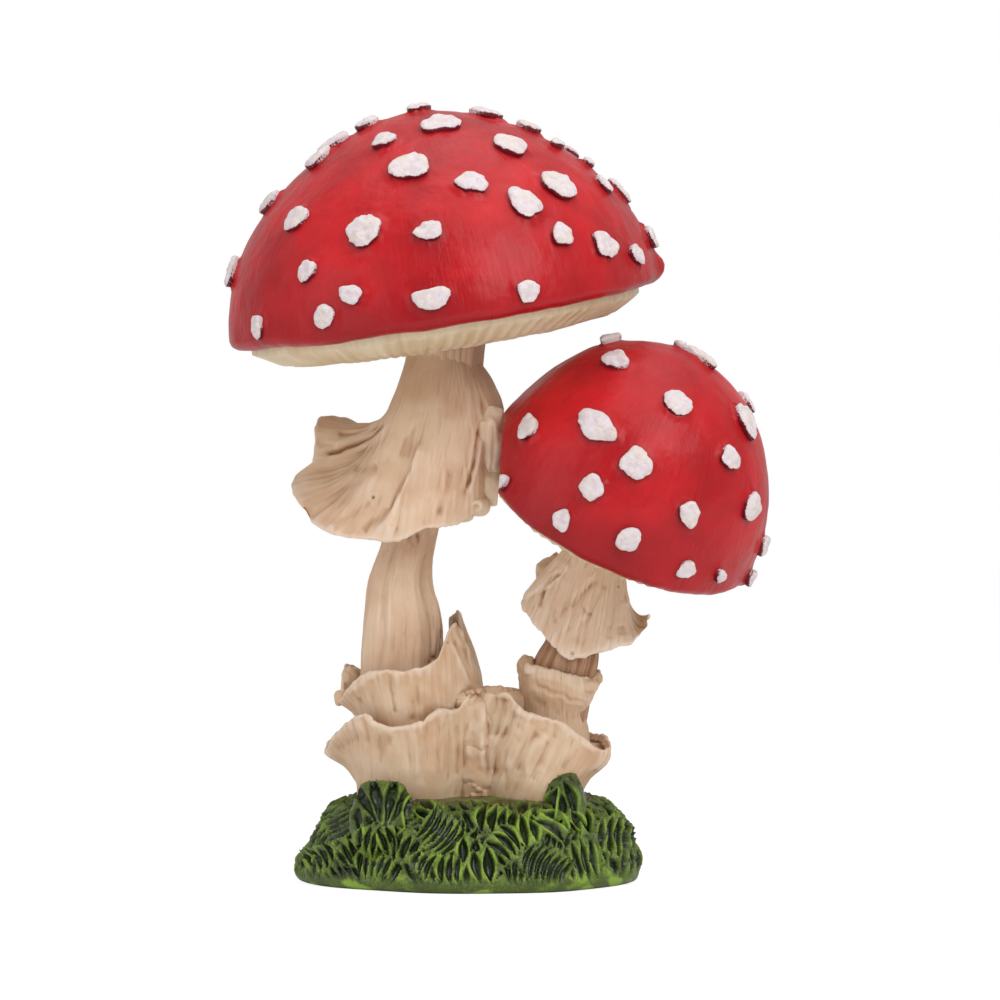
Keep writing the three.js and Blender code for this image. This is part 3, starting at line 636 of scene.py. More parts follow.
def ring(radius, turns, height=0):  # points round the upright axis
    return np.column_stack([*polar(radius, turns), np.broadcast_to(height, np.shape(turns))])


def turnMatrix(degrees, axis):
    return np.array(Matrix.Rotation(math.radians(degrees), 3, axis))


axisHole = 1.5  # radius at which a flat end goes over to its fan of triangles


# Caps

caps = {
    "big": {
        "middle": (-7.4, 0, 168.5), "radius": 64.3, "height": 57.2, "fullness": 1.76, "roll": -9.1,
        "lean": 6.3, "inset": 6.5, "lip": 3, "recess": 4, "around": 520, "rows": 140, "seed": 3,
        "lumps": [(25, 0.4), (9, 0.25), (4, 0.12)],  # how far apart, and how high
        "knobs": [(-5, 88, 5, 2.2), (180, 84, 22, -0.9)],  # turn, down, width, height
        "rimWave": 0.6, "shadeRise": 15,
    },
    "small": {
        "middle": (42.6, -10, 108.5), "radius": 43.4, "height": 51.1, "fullness": 2, "roll": 25.6,
        "lean": 19.9, "inset": 4.5, "lip": 3, "recess": 4, "around": 400, "rows": 110, "seed": 8,
        "lumps": [(20, 0.4), (8, 0.25), (4, 0.12)],
        "knobs": [(-60, 88, 9, 0.8), (180, 60, 24, -1.9), (-140, 88, 22, -1.2)],
        "rimWave": 0.5, "shadeRise": 26,
    },
}

contact = {"x": 8.8, "z": 112.1, "slope": 4}  # flat between the small cap and the big skirt

wartForm = {
    "around": 40, "rings": 22, "thickness": 2.1, "sunk": 1.2, "undercut": 0.05,
    "dent": 0.3,  # how far its middle is pressed in
    "bed": 0.45,  # how far the cap swells up to a wart
    "crust": 0.8,  # height of the crust that part of its margin has
    "lumps": [(3, 0.5), (1.3, 0.3)],
    "washAndShadeTurn": 25,  # its dark wash and painted shade are deepest that far past straight down
}


def capTurn(cap):
    roll = Matrix.Rotation(math.radians(cap["roll"]), 3, "Y")
    return np.array(roll @ Matrix.Rotation(math.radians(cap["lean"]), 3, "X"))


def fromCap(cap, points):  # from the cap's own axis, upright at the origin, to its place
    world = points @ capTurn(cap).T + np.array(cap["middle"])
    return besideContact(world, 1) if cap is caps["small"] else world


def besideContact(points, side, clearance=0):  # keeps points on one side of the flat, +1 for the small cap's
    flat = contact["x"] + (points[:, 2] - contact["z"]) * math.tan(math.radians(contact["slope"]))
    points[:, 0] = np.where(
        side * (points[:, 0] - flat) < clearance, flat + side * clearance, points[:, 0])
    return points


def onDome(cap, directions):
    across = np.hypot(directions[:, 0], directions[:, 1]) / cap["radius"]
    up = np.abs(directions[:, 2]) / cap["height"]
    power = cap["fullness"]
    return directions / (across ** power + up ** power)[:, None] ** (1 / power)


def domeFacing(cap, points):
    across = np.hypot(points[:, 0], points[:, 1])
    power = cap["fullness"]
    out = (across / cap["radius"]) ** (power - 1) / cap["radius"]
    up = (np.maximum(points[:, 2], 0) / cap["height"]) ** (power - 1) / cap["height"]
    beside = np.maximum(across, 1e-6)
    facing = np.stack([out * points[:, 0] / beside, out * points[:, 1] / beside, up], axis=1)
    return facing / np.linalg.norm(facing, axis=1)[:, None]


def domePlace(cap, turn, down):
    turn, down = math.radians(turn), math.radians(down)
    way = [math.sin(down) * math.cos(turn), math.sin(down) * math.sin(turn), math.cos(down)]
    return onDome(cap, np.array([way]))


def wartSpread(wart, number, angle):  # how far its outline goes at each angle, against half its size
    if len(wart) > 4:
        spread = smoothTable([[30 * step, reach] for step, reach in enumerate(wart[4])], angle, 360)[0]
    else:
        spread = np.ones(len(angle))
        for waves, size in ((2, 0.09), (3, 0.08), (5, 0.05)):
            spread += size * np.cos(np.radians(waves * angle + 97 * number * waves))
    flutter = ring(2.2, angle, 3.7 * number)
    return spread * (1 + 0.09 * bumps(flutter, 1, 2) + 0.06 * bumps(flutter, 0.4, 3))


def wartSeat(cap, wart):  # where a wart sits on the dome, and its two directions along it
    place = domePlace(cap, *wart[:2])
    radians = math.radians(wart[0])
    sideways = np.array([-math.sin(radians), math.cos(radians), 0])
    return place, sideways, np.cross(domeFacing(cap, place)[0], sideways)


def wartBelow(angle):  # 1 on a wart's lower side, which holds the dark wash and the painted shade, and 0 on its upper side
    return 0.5 - 0.5 * np.sin(np.radians(angle + wartForm["washAndShadeTurn"]))


def makeCap(name, cap, warts):
    around, radius, inset, lip, recess = (cap[key] for key in ("around", "radius", "inset", "lip", "recess"))
    lid = profile(around, [axisHole, recess], [radius - inset, recess])
    wall = profile(around, [radius - inset, recess], [radius - inset, -0.8 * lip])
    edge = profile(
        around, [radius - inset, -0.8 * lip], [radius - 0.75 * inset, -0.97 * lip],
        [radius - 0.5 * inset, -0.97 * lip], [radius - 1.4, -2.3], [radius - 0.6, -1.5],
        [radius - 0.15, -0.8], [radius, 0])
    angles = np.radians(np.append(np.arange(90, 0, -1.5), 0.3))
    arc = onDome(cap, np.column_stack([np.sin(angles), 0 * angles, np.cos(angles)]))
    dome = profile(around, *arc[:, [0, 2]].tolist())
    lidRows, wallRows, edgeRows = 3, 4, 12
    piece, turns, level, across, height = turnedForm(
        name, around, [(lidRows, lid), (wallRows, wall), (edgeRows, edge), (cap["rows"], dome)])
    points = ring(across, turns, height)
    inside = lidRows + wallRows
    outside = easeStep(level, inside - 1, inside + 4)
    facing = domeFacing(cap, points)

    rise = sum(tall * bumps(points, apart, cap["seed"] + apart) for apart, tall in cap["lumps"])
    for turn, down, width, tall in cap["knobs"]:
        rise += tall * np.exp(-(np.linalg.norm(points - domePlace(cap, turn, down), axis=1) / width) ** 2 * 2)
    dark = np.zeros(len(points))
    crust = 0.5 + 0.9 * bumps(points, 1.6, 11)
    for number, wart in enumerate(warts, 1):
        place, sideways, upwards = wartSeat(cap, wart)
        off = points - place
        near = np.linalg.norm(off, axis=1) < 14
        beside, above = off[near] @ sideways, off[near] @ upwards
        angle = np.degrees(np.arctan2(above / wart[3], beside / wart[2])) % 360
        away = np.hypot(beside, above)
        scale = np.maximum(np.hypot(beside / wart[2], above / wart[3]) * 2, 1e-6)
        gap = away - away / scale * wartSpread(wart, number, angle)
        rise[near] += wartForm["bed"] * (1 - easeStep(gap, -1.5, 2.2))
        margin = easeStep(np.cos(np.radians(angle + 151 * number)), 0.1, 0.7) * (1 - easeStep(gap, 0.5, 1.7))
        rise[near] += wartForm["crust"] * margin * np.clip(crust[near], 0, 1.3)
        # Darker red round the wart's foot, most on its lower side: a dark wash in the crevice, and painted
        # shade.
        dark[near] = np.maximum(dark[near], (0.35 + 0.65 * wartBelow(angle)) * (1 - easeStep(gap, 0, 1.1)))
    rim = ring(40, turns)
    drop = cap["rimWave"] * (1 - easeStep(points[:, 2], 0, 9)) * (bumps(rim, 9, 5) + 0.5 * bumps(rim, 4, 6))
    points = points + facing * (rise * outside)[:, None]
    points[:, 2] += drop * outside
    writePoints(piece, fromCap(cap, points))
    # Painted shade: the red darkens towards the rim, up to shadeRise above it. The dark round the warts' feet
    # and a little random tone are added to it.
    shade = dark + 0.75 * (1 - easeStep(points[:, 2], -2, cap["shadeRise"])) + 0.2 * bumps(points, 18, 4)
    setAttribute(piece, "shade", np.clip(shade, 0, 1))
    brushTurn = np.degrees(np.arctan2(points[:, 1], points[:, 0]))
    fromTop = np.hypot(across, points[:, 2] - cap["height"])
    setAttribute(piece, "brush", ring(0.8 * radius, brushTurn, fromTop))
    return piece


# Warts: degrees round the cap's axis, degrees down from its top, width, height in millimetres, and
# for the ones that show best, their outline from the photo's right anticlockwise

solidWarts = {  # these stand for solids, numbered in this order
    "big": [
        (-35, 3, 11.2, 4.7),
        (-69, 24, 11, 11.5, (1, 1, 0.95, 0.9, 0.85, 0.95, 1.25, 1.2, 0.8, 0.85, 0.95, 1)), (-4, 22, 10, 9),
        (-157, 33, 6, 10), (-108.6, 29.2, 7, 6.5),
        (-93.8, 44.6, 11.4, 11.4, (0.95, 1.05, 1.05, 1, 0.95, 1.05, 1.1, 1, 0.85, 0.8, 0.95, 1.05)),
        (-48, 42, 8.5, 11, (1.35, 1.1, 0.95, 0.95, 1, 1, 1, 0.95, 0.95, 1, 0.95, 1.1)),
        (-73.5, 54.4, 9, 7.2),
        (-43.6, 60.1, 11.4, 10.6, (1, 1, 0.9, 0.95, 1.1, 1, 0.95, 0.9, 1, 1.05, 1.1, 1)),
        (-60, 64, 9.4, 9.8), (-136.6, 57.4, 8, 8.6),
        (-109, 64.5, 10.4, 10.2, (0.95, 1.05, 1, 0.95, 0.95, 1.05, 1, 0.95, 1, 1.05, 0.95, 0.95)),
        (-90.2, 67.5, 7.4, 6.3), (-53.4, 74.8, 7.2, 6.4), (-40.1, 79.6, 8.4, 9), (-125.9, 73.6, 6, 6),
        (-112.4, 81.1, 6.3, 5.9),
        (-92, 85, 10.5, 6.5, (1, 1.1, 1.05, 0.8, 0.9, 1.1, 1, 0.95, 1, 1.05, 1, 0.95)), (-174, 72, 9, 9.5),
        (40, 42, 10, 9), (75, 62, 9, 8), (112, 38, 10, 9), (135, 66, 10, 11), (88, 84, 9, 8),
        (18, 74, 9, 9),
    ],
    "small": [
        (-147.5, 26.2, 9.6, 6.6), (68, 7, 11, 6),
        (-85.3, 26.9, 8.4, 7.9, (1.1, 1, 0.9, 0.9, 1, 1.05, 1, 0.95, 0.9, 1, 1.05, 1.05)),
        (-45.6, 40.6, 6.3, 6.9),
        (-116.4, 48.4, 13.4, 8.3, (1.05, 0.95, 0.85, 1, 0.95, 1.1, 1.05, 0.9, 0.95, 1.1, 0.95, 0.95)),
        (-92.1, 53, 8.9, 9.1, (1.1, 1.05, 0.85, 1.05, 1.1, 0.9, 0.95, 1.1, 0.9, 0.9, 1.05, 1)),
        (-103.2, 67.3, 7.1, 7.3, (1, 0.95, 0.9, 1, 1.1, 0.95, 1, 1.05, 0.9, 1, 1.1, 0.9)),
        (-63.5, 62.4, 6.4, 7.1), (-28.5, 57.1, 8, 8.6),
        (-82.2, 78.3, 6.6, 7.4, (0.9, 1, 1.1, 1, 0.9, 0.95, 1, 1.1, 1.05, 0.9, 0.95, 1)), (-6, 75, 7, 6.3),
        (50, 48, 9, 8), (95, 58, 9, 8), (75, 80, 8, 7),
    ],
}
otherWarts = {
    "big": [
        (-162, 14, 6, 8), (-167, 25, 10, 9.5), (-14, 45, 6.5, 4.5), (-6, 35, 6, 7), (-9, 55, 5.5, 4),
        (-19, 63, 4.8, 6.5), (-4, 66, 7, 9), (-173, 50, 8, 8.5), (-27.8, 83.8, 5.4, 5.6), (-7, 81, 7, 7.2),
        (-120.1, 85.8, 7.4, 6.3, (0.9, 1, 1.1, 1.1, 1, 0.9, 0.9, 1, 1.05, 1, 0.95, 0.85)),
        (-68.1, 87.2, 6.2, 6.8), (-143.8, 86.2, 5.2, 6.2), (60, 20, 9, 8), (150, 35, 8, 8), (95, 60, 6, 7),
        (55, 70, 7, 6), (112, 82, 8, 7), (155, 84, 6, 7), (35, 62, 8, 7), (140, 48, 6, 6), (70, 85, 6, 6),
        (14, 50, 7, 6), (40, 84, 8, 8), (82, 42, 6, 6),
    ],
    "small": [
        (162, 28, 9, 5), (-18, 28, 8.5, 10), (-143.5, 64.2, 6.2, 7.6), (-138.4, 86.2, 4.2, 5.5),
        (-107.4, 83.2, 5.1, 6.3), (-56.5, 82.1, 5.6, 5.2), (-38.9, 82.8, 3.4, 4), (-8, 88, 5.5, 5),
        (114, 10, 3, 4.5), (36, 32, 7, 7), (75, 34, 6, 7), (118, 38, 7, 6), (30, 68, 6, 7), (55, 75, 6, 5),
        (100, 80, 7, 6), (120, 62, 5, 6),
    ],
}


def makeWart(name, cap, wart, number):
    wide, tall = wart[2:4]
    clearSelection()
    bpy.ops.mesh.primitive_uv_sphere_add(
        segments=wartForm["around"], ring_count=wartForm["rings"], radius=1, location=(0, 0, 0))
    piece = bpy.context.object
    piece.name = piece.data.name = name
    unit = readPoints(piece)
    angle = np.degrees(np.arctan2(unit[:, 1], unit[:, 0])) % 360
    across = np.hypot(unit[:, 0], unit[:, 1])
    spread = wartSpread(wart, number, angle)
    top = unit[:, 2] > 1e-6
    plan = np.where(top, across ** 0.75, across ** 0.9)
    level = np.where(top, np.abs(unit[:, 2]) ** 0.55, 0)
    undercut = 1 - wartForm["undercut"] * (1 - easeStep(level, 0, 0.6))
    height = np.where(top, wartForm["thickness"] * (0.12 + 0.88 * level), wartForm["sunk"] * unit[:, 2])
    beside, above = np.array(polar(plan * spread * undercut, angle)) * np.array([[wide / 2], [tall / 2]])

    place, sideways, upwards = wartSeat(cap, wart)
    feet = onDome(cap, place + beside[:, None] * sideways + above[:, None] * upwards)
    rough = sum(size * bumps(feet, apart, number) for apart, size in wartForm["lumps"])
    rough = rough * easeStep(level, 0.1, 0.6)
    dent = wartForm["dent"] * np.exp(-((beside / wide) ** 2 + (above / tall) ** 2) * 14)
    rise = height + rough - dent + wartForm["bed"]
    writePoints(piece, fromCap(cap, feet + domeFacing(cap, feet) * rise[:, None]))
    below = wartBelow(angle)
    # The red coat that runs up the wart's sides, made stronger on its lower side as painted shade.
    setAttribute(piece, "edge", (1 - easeStep(level, 0.3, 0.5 + 0.3 * below)) * (0.3 + 0.7 * below))
    setAttribute(piece, "wash", np.clip(-rough / 0.4, -1, 1))
    return piece


for size in ("big", "small"):
    cap = caps[size]
    warts = solidWarts[size] + otherWarts[size]
    finishPiece(makeCap(f"{size}Cap", cap, warts), redEnamel, "red_cap", f"{size}_cap")
    extras = []
    for number, wart in enumerate(warts, 1):
        piece = makeWart(f"{size}CapWart{number:02d}", cap, wart, number)
        if number <= len(solidWarts[size]):
            finishPiece(piece, wartWhite, "white_wart", f"{size}_cap_wart_{number:02d}")
        else:
            extras.append(piece)
    finishPiece(joinPieces(f"{size}CapExtraWarts", extras), wartWhite, "white_wart")
print("caps and warts made")


# Gills: one plug of fine, uneven pleats under each cap

gills = {
    "big": {"drop": 10.5, "pleats": 84, "depth": 0.8, "sweep": 12, "around": 936},
    "small": {"drop": 7, "pleats": 60, "depth": 0.7, "sweep": 10, "around": 720},
}
gillFit = {"side": 0.2, "top": 0.4, "contact": 0.3}  # clearances to the cap and to the skirt's flat


def makeGills(name, cap, form):
    around, drop = form["around"], form["drop"]
    edge = cap["radius"] - cap["inset"] - gillFit["side"]
    top = cap["recess"] - gillFit["top"]
    under = profile(
        around, [axisHole, -drop], [0.7 * edge, -drop], [0.87 * edge, -0.86 * drop],
        [0.97 * edge, -0.55 * drop], [edge, -0.45 * drop])
    wall = profile(around, [edge, -0.45 * drop], [edge, top])
    lid = profile(around, [edge, top], [axisHole, top])
    underRows = 46
    piece, turns, level, radius, height = turnedForm(name, around, [(underRows, under), (4, wall), (2, lid)])
    share = radius / edge
    swept = turns + form["sweep"] * (1 - share)
    circle = ring(30, swept)
    uneven = 0.9 * bumps(circle, 6, 3) + 0.6 * bumps(circle, 2.5, 4)
    phase = np.radians(form["pleats"] * swept) + 1.6 * uneven
    blade = np.abs(np.sin(phase / 2)) ** 0.7
    between = 0.5 + 0.5 * np.cos(2 * phase)
    fade = easeStep(share, 0.12, 0.35) * (1 - easeStep(level, underRows, underRows + 2))
    relief = form["depth"] * (blade - 0.55) * (0.75 + 0.5 * bumps(circle, 3, 5))
    relief += 0.25 * form["depth"] * between * easeStep(share, 0.75, 0.95)
    relief += 0.5 * bumps(ring(radius, turns, height), 9, 6)
    world = fromCap(cap, ring(radius, turns, height - relief * fade))
    if name == "smallGills":
        world = besideContact(world, 1, gillFit["contact"])
    writePoints(piece, world)
    setAttribute(piece, "flow", ring(30, swept, radius))
    setAttribute(piece, "wash", np.clip((0.3 - blade) * 0.7, -0.3, 0.2) * easeStep(share, 0.1, 0.3))
    return piece


for size in ("big", "small"):
    finishPiece(makeGills(f"{size}Gills", caps[size], gills[size]), gillCream, "cream_gill", f"{size}_gills")
print("gills made")


# Tool strokes that show on the front, measured where they appear in the plane through the middle

carvings = {
    "bigSkirt": {
        "steps": [
            (1.27, 0.96, -14, 128.3, -15.7, 124.2, -16.7, 120.9, -17.9, 117.6, -19.4, 114.3, -21, 111.4,
                -23.1, 107.7, -25.2, 104.8, -27.6, 102.5),
            (-0.59, 1.44, -15.1, 139.1, -15.7, 134.5, -17.1, 131.6, -18.6, 129.6, -19.8, 127.1, -20.8, 123)],
        "lines": [
            (0.28, 1.5, -8.7, 143.2, -9.1, 136.2, -10.3, 128.3, -12.6, 120.9, -13.8, 116.8, -15.7, 111.8,
                -16.9, 105.2),
            (-0.5, 0.83, -5.2, 120.1, -5.6, 116.8, -6.2, 113.9, -7.2, 111, -8.7, 106.3),
            (-0.9, 0.69, 4.1, 142.4, 4.7, 137.4, 5.2, 135.3, 4.5, 133.3, 3.1, 130.8, 2.7, 127.1, 1.9, 123,
                1, 119.3, 0, 116, -1, 112.2),
            (0.5, 0.75, 3.5, 130, 3.2, 125.4, 2.3, 120.9, 1.2, 116.8, -0.2, 112.6),
            (-0.28, 0.6, 0.4, 129.2, 0.2, 124.2, -0.6, 120.5),
            (-0.33, 0.75, 6.2, 138.2, 6.6, 132.5, 7.1, 128.3, 6.6, 124.2, 7.4, 119.3),
            (-1.12, 0.92, -24.6, 133.9, -28.5, 130.4, -32.2, 128.3, -35.5, 127.1, -38.8, 125.8, -42.1,
                124.8),
            (-0.5, 0.9, -28.1, 132.9, -32.2, 131.4, -35.5, 130.8, -38.4, 131),
            (-0.5, 1.05, -44.5, 128.3, -42.1, 127.9, -38.8, 127.1),
            (0.44, 1.2, -22.3, 135.3, -25.6, 130.4, -30.5, 127.1, -35.5, 124.2, -39.6, 123.7, -43.7, 123.2,
                -46.8, 122.1),
            (0.28, 1.95, -23.1, 122.6, -26.4, 119.3, -30.5, 118.4, -35.5, 117.6, -40.4, 116.4, -45.4, 116,
                -49.5, 116.4),
            (0.33, 1.8, -25.6, 117.6, -32.2, 114.3, -38, 111.8, -42.9, 110.2, -46.2, 108.9),
            (-0.33, 1.65, -28.1, 111.8, -33, 108.1, -37.1, 105.6, -40, 104),
            (-0.39, 1.5, -23.9, 109.6, -25.6, 106.5, -28.5, 104.4, -30.9, 101.9),
            (-0.28, 0.52, -38.4, 103.6, -39.2, 102.5, -40.2, 101.9),
            (0.22, 1.5, -19.4, 113.5, -20.6, 110.2, -21.7, 106.5, -22.9, 103.6),
            (-0.28, 1.2, -11.6, 112.2, -12.4, 107.7, -13, 104),
            (0.22, 1.05, -3.5, 114.3, -4.3, 109.3, -5.6, 105.2),
            (-0.22, 0.9, -1.6, 115.1, -2.3, 110.2, -3.5, 106.5),
            (1.2, 1.03, -24.8, 102.1, -23.1, 102.5, -21.7, 101.9),
            (-0.39, 1.8, -26.4, 121.3, -29.7, 120.1, -33.8, 119.7)],
        "pits": [
            (-0.9, 0.5, -27.9, 112.2)],
    },
    "smallSkirt": {
        "steps": [
            (1.02, 0.84, 17.1, 81.5, 18.8, 83.5, 20.8, 84.5, 23.6, 85.6, 26.4, 87.4, 29, 90.2, 30.6, 92.8)],
        "lines": [
            (-0.75, 0.69, 28.1, 89.7, 24.7, 87.7, 22.5, 84.9, 21.6, 82.1, 21.3, 79.6),
            (-0.44, 1.05, 37.7, 88, 34.9, 84.9, 32.1, 81.5, 30.4, 79.6),
            (-0.33, 0.75, 41.1, 87.2, 38.5, 82.6, 36.8, 79.3, 35.7, 77, 34.3, 74.2),
            (0.33, 0.9, 39.9, 85.5, 37.7, 82.1, 35.4, 77.9, 33.7, 75.3),
            (-0.33, 0.75, 36.3, 87.2, 33.5, 82.6, 31.8, 78.1, 30.9, 75.3, 29.2, 72.2),
            (-0.22, 0.75, 29.2, 79.8, 27.5, 77.9, 26.4, 75.3, 25.4, 72.5),
            (-0.28, 0.68, 25.6, 79.8, 25.3, 77, 25.9, 74.8),
            (-0.33, 0.9, 45.3, 88.3, 45.8, 83.8, 45.6, 81),
            (0.28, 0.75, 46.7, 87.7, 47, 83.8, 46.5, 79.8),
            (-0.28, 0.38, 33.2, 80.7, 34.9, 78.4, 36.6, 77.6),
            (-0.44, 1.8, 45.1, 74.5, 45.4, 73.4, 45.6, 71.7),
            (-0.28, 1.2, 41.6, 74.8, 41.5, 72.5, 41.6, 70.3),
            (0.39, 2.1, 28.1, 69.1, 33.5, 66.3, 38.8, 67.7, 44.7, 69.7)],
        "pits": [
            (-0.6, 0.3, 44.2, 85.9), (-1, 0.45, 30.8, 66.3)],
    },
    "bigStem": {
        "lines": [
            (-0.28, 0.75, -23.1, 98.8, -25, 93.7, -25.6, 85.8, -25, 77.9, -24.6, 70.1, -25, 64.6),
            (0.22, 0.9, -19.1, 99.2, -19.9, 89.8, -19.5, 79.5, -19.3, 70.1, -19.9, 64.6),
            (0.28, 0.75, -16, 98.8, -16.4, 89.8, -15.2, 79.5, -14.2, 72, -14.2, 65),
            (-0.28, 0.6, -17.5, 89.8, -17.7, 79.5, -18.3, 70.1, -17.9, 63.8),
            (-0.28, 0.75, -21.5, 93.7, -21.9, 81.9, -21.5, 74, -22.1, 65.3),
            (-0.44, 0.9, -12, 98.4, -13.2, 89.8, -12, 81.9, -10.1, 75.2, -8.9, 71.6, -8.5, 66.9),
            (-0.22, 0.6, -12, 79.5, -10.8, 72, -11.2, 65.3),
            (0.28, 1.35, -27.8, 96.9, -29, 87.8, -29, 77.9, -29.4, 70.1, -29.7, 64.6),
            (-1.05, 0.8, -7.5, 73.4, -8.1, 68.9, -8.9, 66.1, -12, 63.6),
            (-0.9, 0.6, -21.2, 100.6, -19.4, 101.2),
            (-0.7, 0.6, -14.4, 99.2, -15, 101.6)],
        "pits": [
            (-1.2, 0.8, -17.4, 100.2)],
    },
    "bigUpperCup": {
        "lines": [
            (-0.39, 0.68, -23.4, 60.2, -22.7, 55.9, -22.1, 51.2, -21.5, 48.4),
            (-0.22, 0.75, -28.6, 58.3, -27.8, 55.1, -28.2, 50.4),
            (-0.22, 0.75, -14.4, 59.8, -14.7, 54.3, -14.2, 50.4),
            (-0.33, 0.9, -16.4, 52.7, -16, 48.4, -16.4, 46.4),
            (-0.17, 0.6, -6.1, 55.1, -5.9, 51.2),
            (-0.33, 0.52, -31.9, 53.3, -31.1, 51.2),
            (0.28, 1.2, -37, 54.7, -32.5, 56.3, -29.7, 58.3, -27, 60.2, -24.6, 61.8),
            (-0.5, 0.68, -3.8, 70.5, -1.8, 65.3, -0.2, 61.4, 1.8, 56.7),
            (-0.5, 0.68, -1.8, 68.9, 0.2, 64.2, 1.8, 59.8, 3.3, 56.7),
            (0.33, 0.75, -4.7, 68.9, -2.6, 64.2, -0.8, 59.8, 0.6, 56.3),
            (-0.39, 0.75, -2.6, 74.8, -2.4, 71.6, -0.6, 68.9),
            (-0.9, 1.26, -0.2, 54.7, -1.8, 52.4, -3, 49.2),
            (-0.33, 1.8, -18.3, 47.2, -13.6, 46.8, -9.7, 49.2)],
        "pits": [
            (-0.5, 0.4, -5.9, 69.3)],
    },
    "bigLowerCup": {
        "lines": [
            (0.5, 1.2, -29.7, 48.4, -27.8, 45.7, -22.3, 44.3, -16, 44.7, -12, 46.4, -8.9, 48.8, -5.7, 49,
                -1.8, 49.2),
            (-0.28, 0.9, -31.7, 47.6, -30.1, 44.1, -29.4, 39.4),
            (-0.22, 0.75, -26.2, 42.5, -26, 38.6, -25.6, 33.4),
            (-0.28, 0.75, -23.2, 42.1, -22.3, 36.6, -22.7, 31.1),
            (-0.22, 0.75, -18.3, 43.3, -17.5, 36.6, -16.8, 29.9),
            (0.22, 1.05, -16, 43.3, -15.4, 36.6, -14.8, 29.5),
            (-0.22, 0.75, -13.6, 43.3, -13.2, 34.6, -12.8, 27.5),
            (-0.28, 0.75, -9.3, 47.2, -8.1, 42.5, -8.5, 36.6, -8.1, 29.1),
            (-0.22, 0.6, -6.9, 46.4, -6.7, 38.6, -6.9, 30.7),
            (-0.33, 0.75, -5.1, 47.2, -5.3, 38.6, -5.7, 27.9),
            (-0.39, 0.9, -3, 46.4, -2.6, 36.6, -3.4, 29.9),
            (-0.33, 0.75, -0.8, 46.4, -0.4, 38.6, -1, 31.5),
            (-0.39, 0.9, 1.4, 47.2, 1.8, 38.6, 1.4, 31.5),
            (-0.83, 0.92, 3.7, 48, 4.5, 40.5, 3.7, 30.7, 2.9, 26),
            (-0.75, 1.38, -27.8, 48, -25, 46.4, -21.5, 45.5),
            (-0.33, 1.8, -38.8, 38.2, -34.9, 40.5, -30.5, 42.5)],
    },
    "smallLowerCup": {
        "steps": [
            (-0.94, 1.32, 13.3, 49.7, 11.1, 45.3, 8.9, 41.4, 7.1, 36.7, 7, 28.7)],
        "lines": [
            (-0.9, 2.53, 10.1, 53.5, 9.5, 49.4, 8.2, 45.3, 7.4, 41.4),
            (-0.5, 1.5, 21, 43, 18.4, 40.8, 16.5, 38.2, 15.2, 35.1, 14.3, 31.2),
            (0.39, 1.5, 22.9, 43, 20.3, 39.8, 18.4, 37.3, 17.5, 34.1, 16.8, 30),
            (-0.44, 1.2, 24, 40.8, 22.3, 37.9, 21.3, 35.7, 19.7, 31.9, 18.8, 28),
            (0.33, 1.35, 26.1, 41.4, 24.2, 37.6, 22.9, 34.4, 21.6, 30.6),
            (-0.28, 1.05, 32.5, 38.6, 31.2, 35.7, 29.3, 34.1, 27.8, 31.6),
            (-0.22, 0.75, 11.1, 38.2, 10.5, 33.5, 11.1, 28.7, 11.1, 24.9),
            (0.28, 1.35, 13.3, 41.4, 11.4, 36.7, 11.1, 31.9),
            (0.44, 1.05, 13.2, 51, 14.6, 49.2, 16.5, 48, 19.7, 47.3, 22.9, 47, 26.1, 45.9, 28.3, 44.1, 31.2,
                41.9, 33.7, 39.7, 36, 38.2, 38.5, 37.6),
            (-0.33, 1.2, 38.2, 31.9, 34.1, 29, 32.1, 25.5),
            (-0.39, 1.2, 14, 45.3, 15.9, 43, 14.3, 39.8)],
    },
    "smallUpperCup": {
        "lines": [
            (-0.5, 0.52, 19.7, 57.4, 21, 56.4, 22.9, 55.9, 24.3, 54.8, 28, 54.3, 29.8, 52.7, 31.5, 52.5,
                34.7, 51.8),
            (0.98, 2.18, 17.8, 60.6, 21, 59.6, 24.8, 59, 29.3, 57.4, 32.5, 56.4, 36.6, 57.4),
            (-0.5, 0.9, 15.6, 64.4, 15.9, 61.8, 16.2, 59),
            (0.9, 1.15, 17.5, 65, 17.5, 62.5, 18.1, 59.9),
            (-0.5, 1.05, 18.6, 64.1, 19.7, 63.7, 21, 63.3),
            (-0.22, 0.9, 18.4, 54.8, 20.3, 52.3, 22.9, 51),
            (-0.22, 0.75, 26.7, 53.5, 27, 50.4, 26.1, 47.8),
            (-0.28, 0.9, 33.1, 51, 32.5, 48.4, 31.2, 46.5),
            (-0.39, 0.9, 35, 59.6, 35.6, 56.4, 34.4, 53.2)],
        "pits": [
            (-0.4, 0.3, 27.2, 59.1)],
    },
}


# Stems

stems = {
    "big": {
        "stations": [  # level, middle x, middle y, radius
            (20.5, -20.5, 0, 12), (45, -19.9, 0, 12), (67, -19.2, 0.1, 11.8), (78, -19, 0.1, 11),
            (88, -19.6, 0.1, 9), (99, -17.4, 0.2, 7.7), (112, -14.4, 0.4, 8.8), (125, -11.6, 0.5, 10.2),
            (140, -8.2, 0.7, 11), (161.3, -6.2, 0.8, 11.2),
        ],
        "around": 240, "rows": 100, "flutes": 9, "twist": 34, "relief": 1,
        "brown": (52, 60),  # brown wash and painted shade below the first level, and none above the second
    },
    "small": {
        "stations": [
            (20.5, 24, -5, 8.6), (45, 25.6, -5.4, 8.8), (58, 27.4, -5.8, 9.5), (65, 29, -6.2, 9.2),
            (71, 30.9, -6.5, 7.6), (80, 33.4, -7, 7.2), (92, 37.2, -7.9, 7.5), (105.3, 41, -8.7, 8),
        ],
        "around": 200, "rows": 84, "flutes": 9, "twist": 28, "relief": 0.8,
        "brown": (72, 80),
    },
}


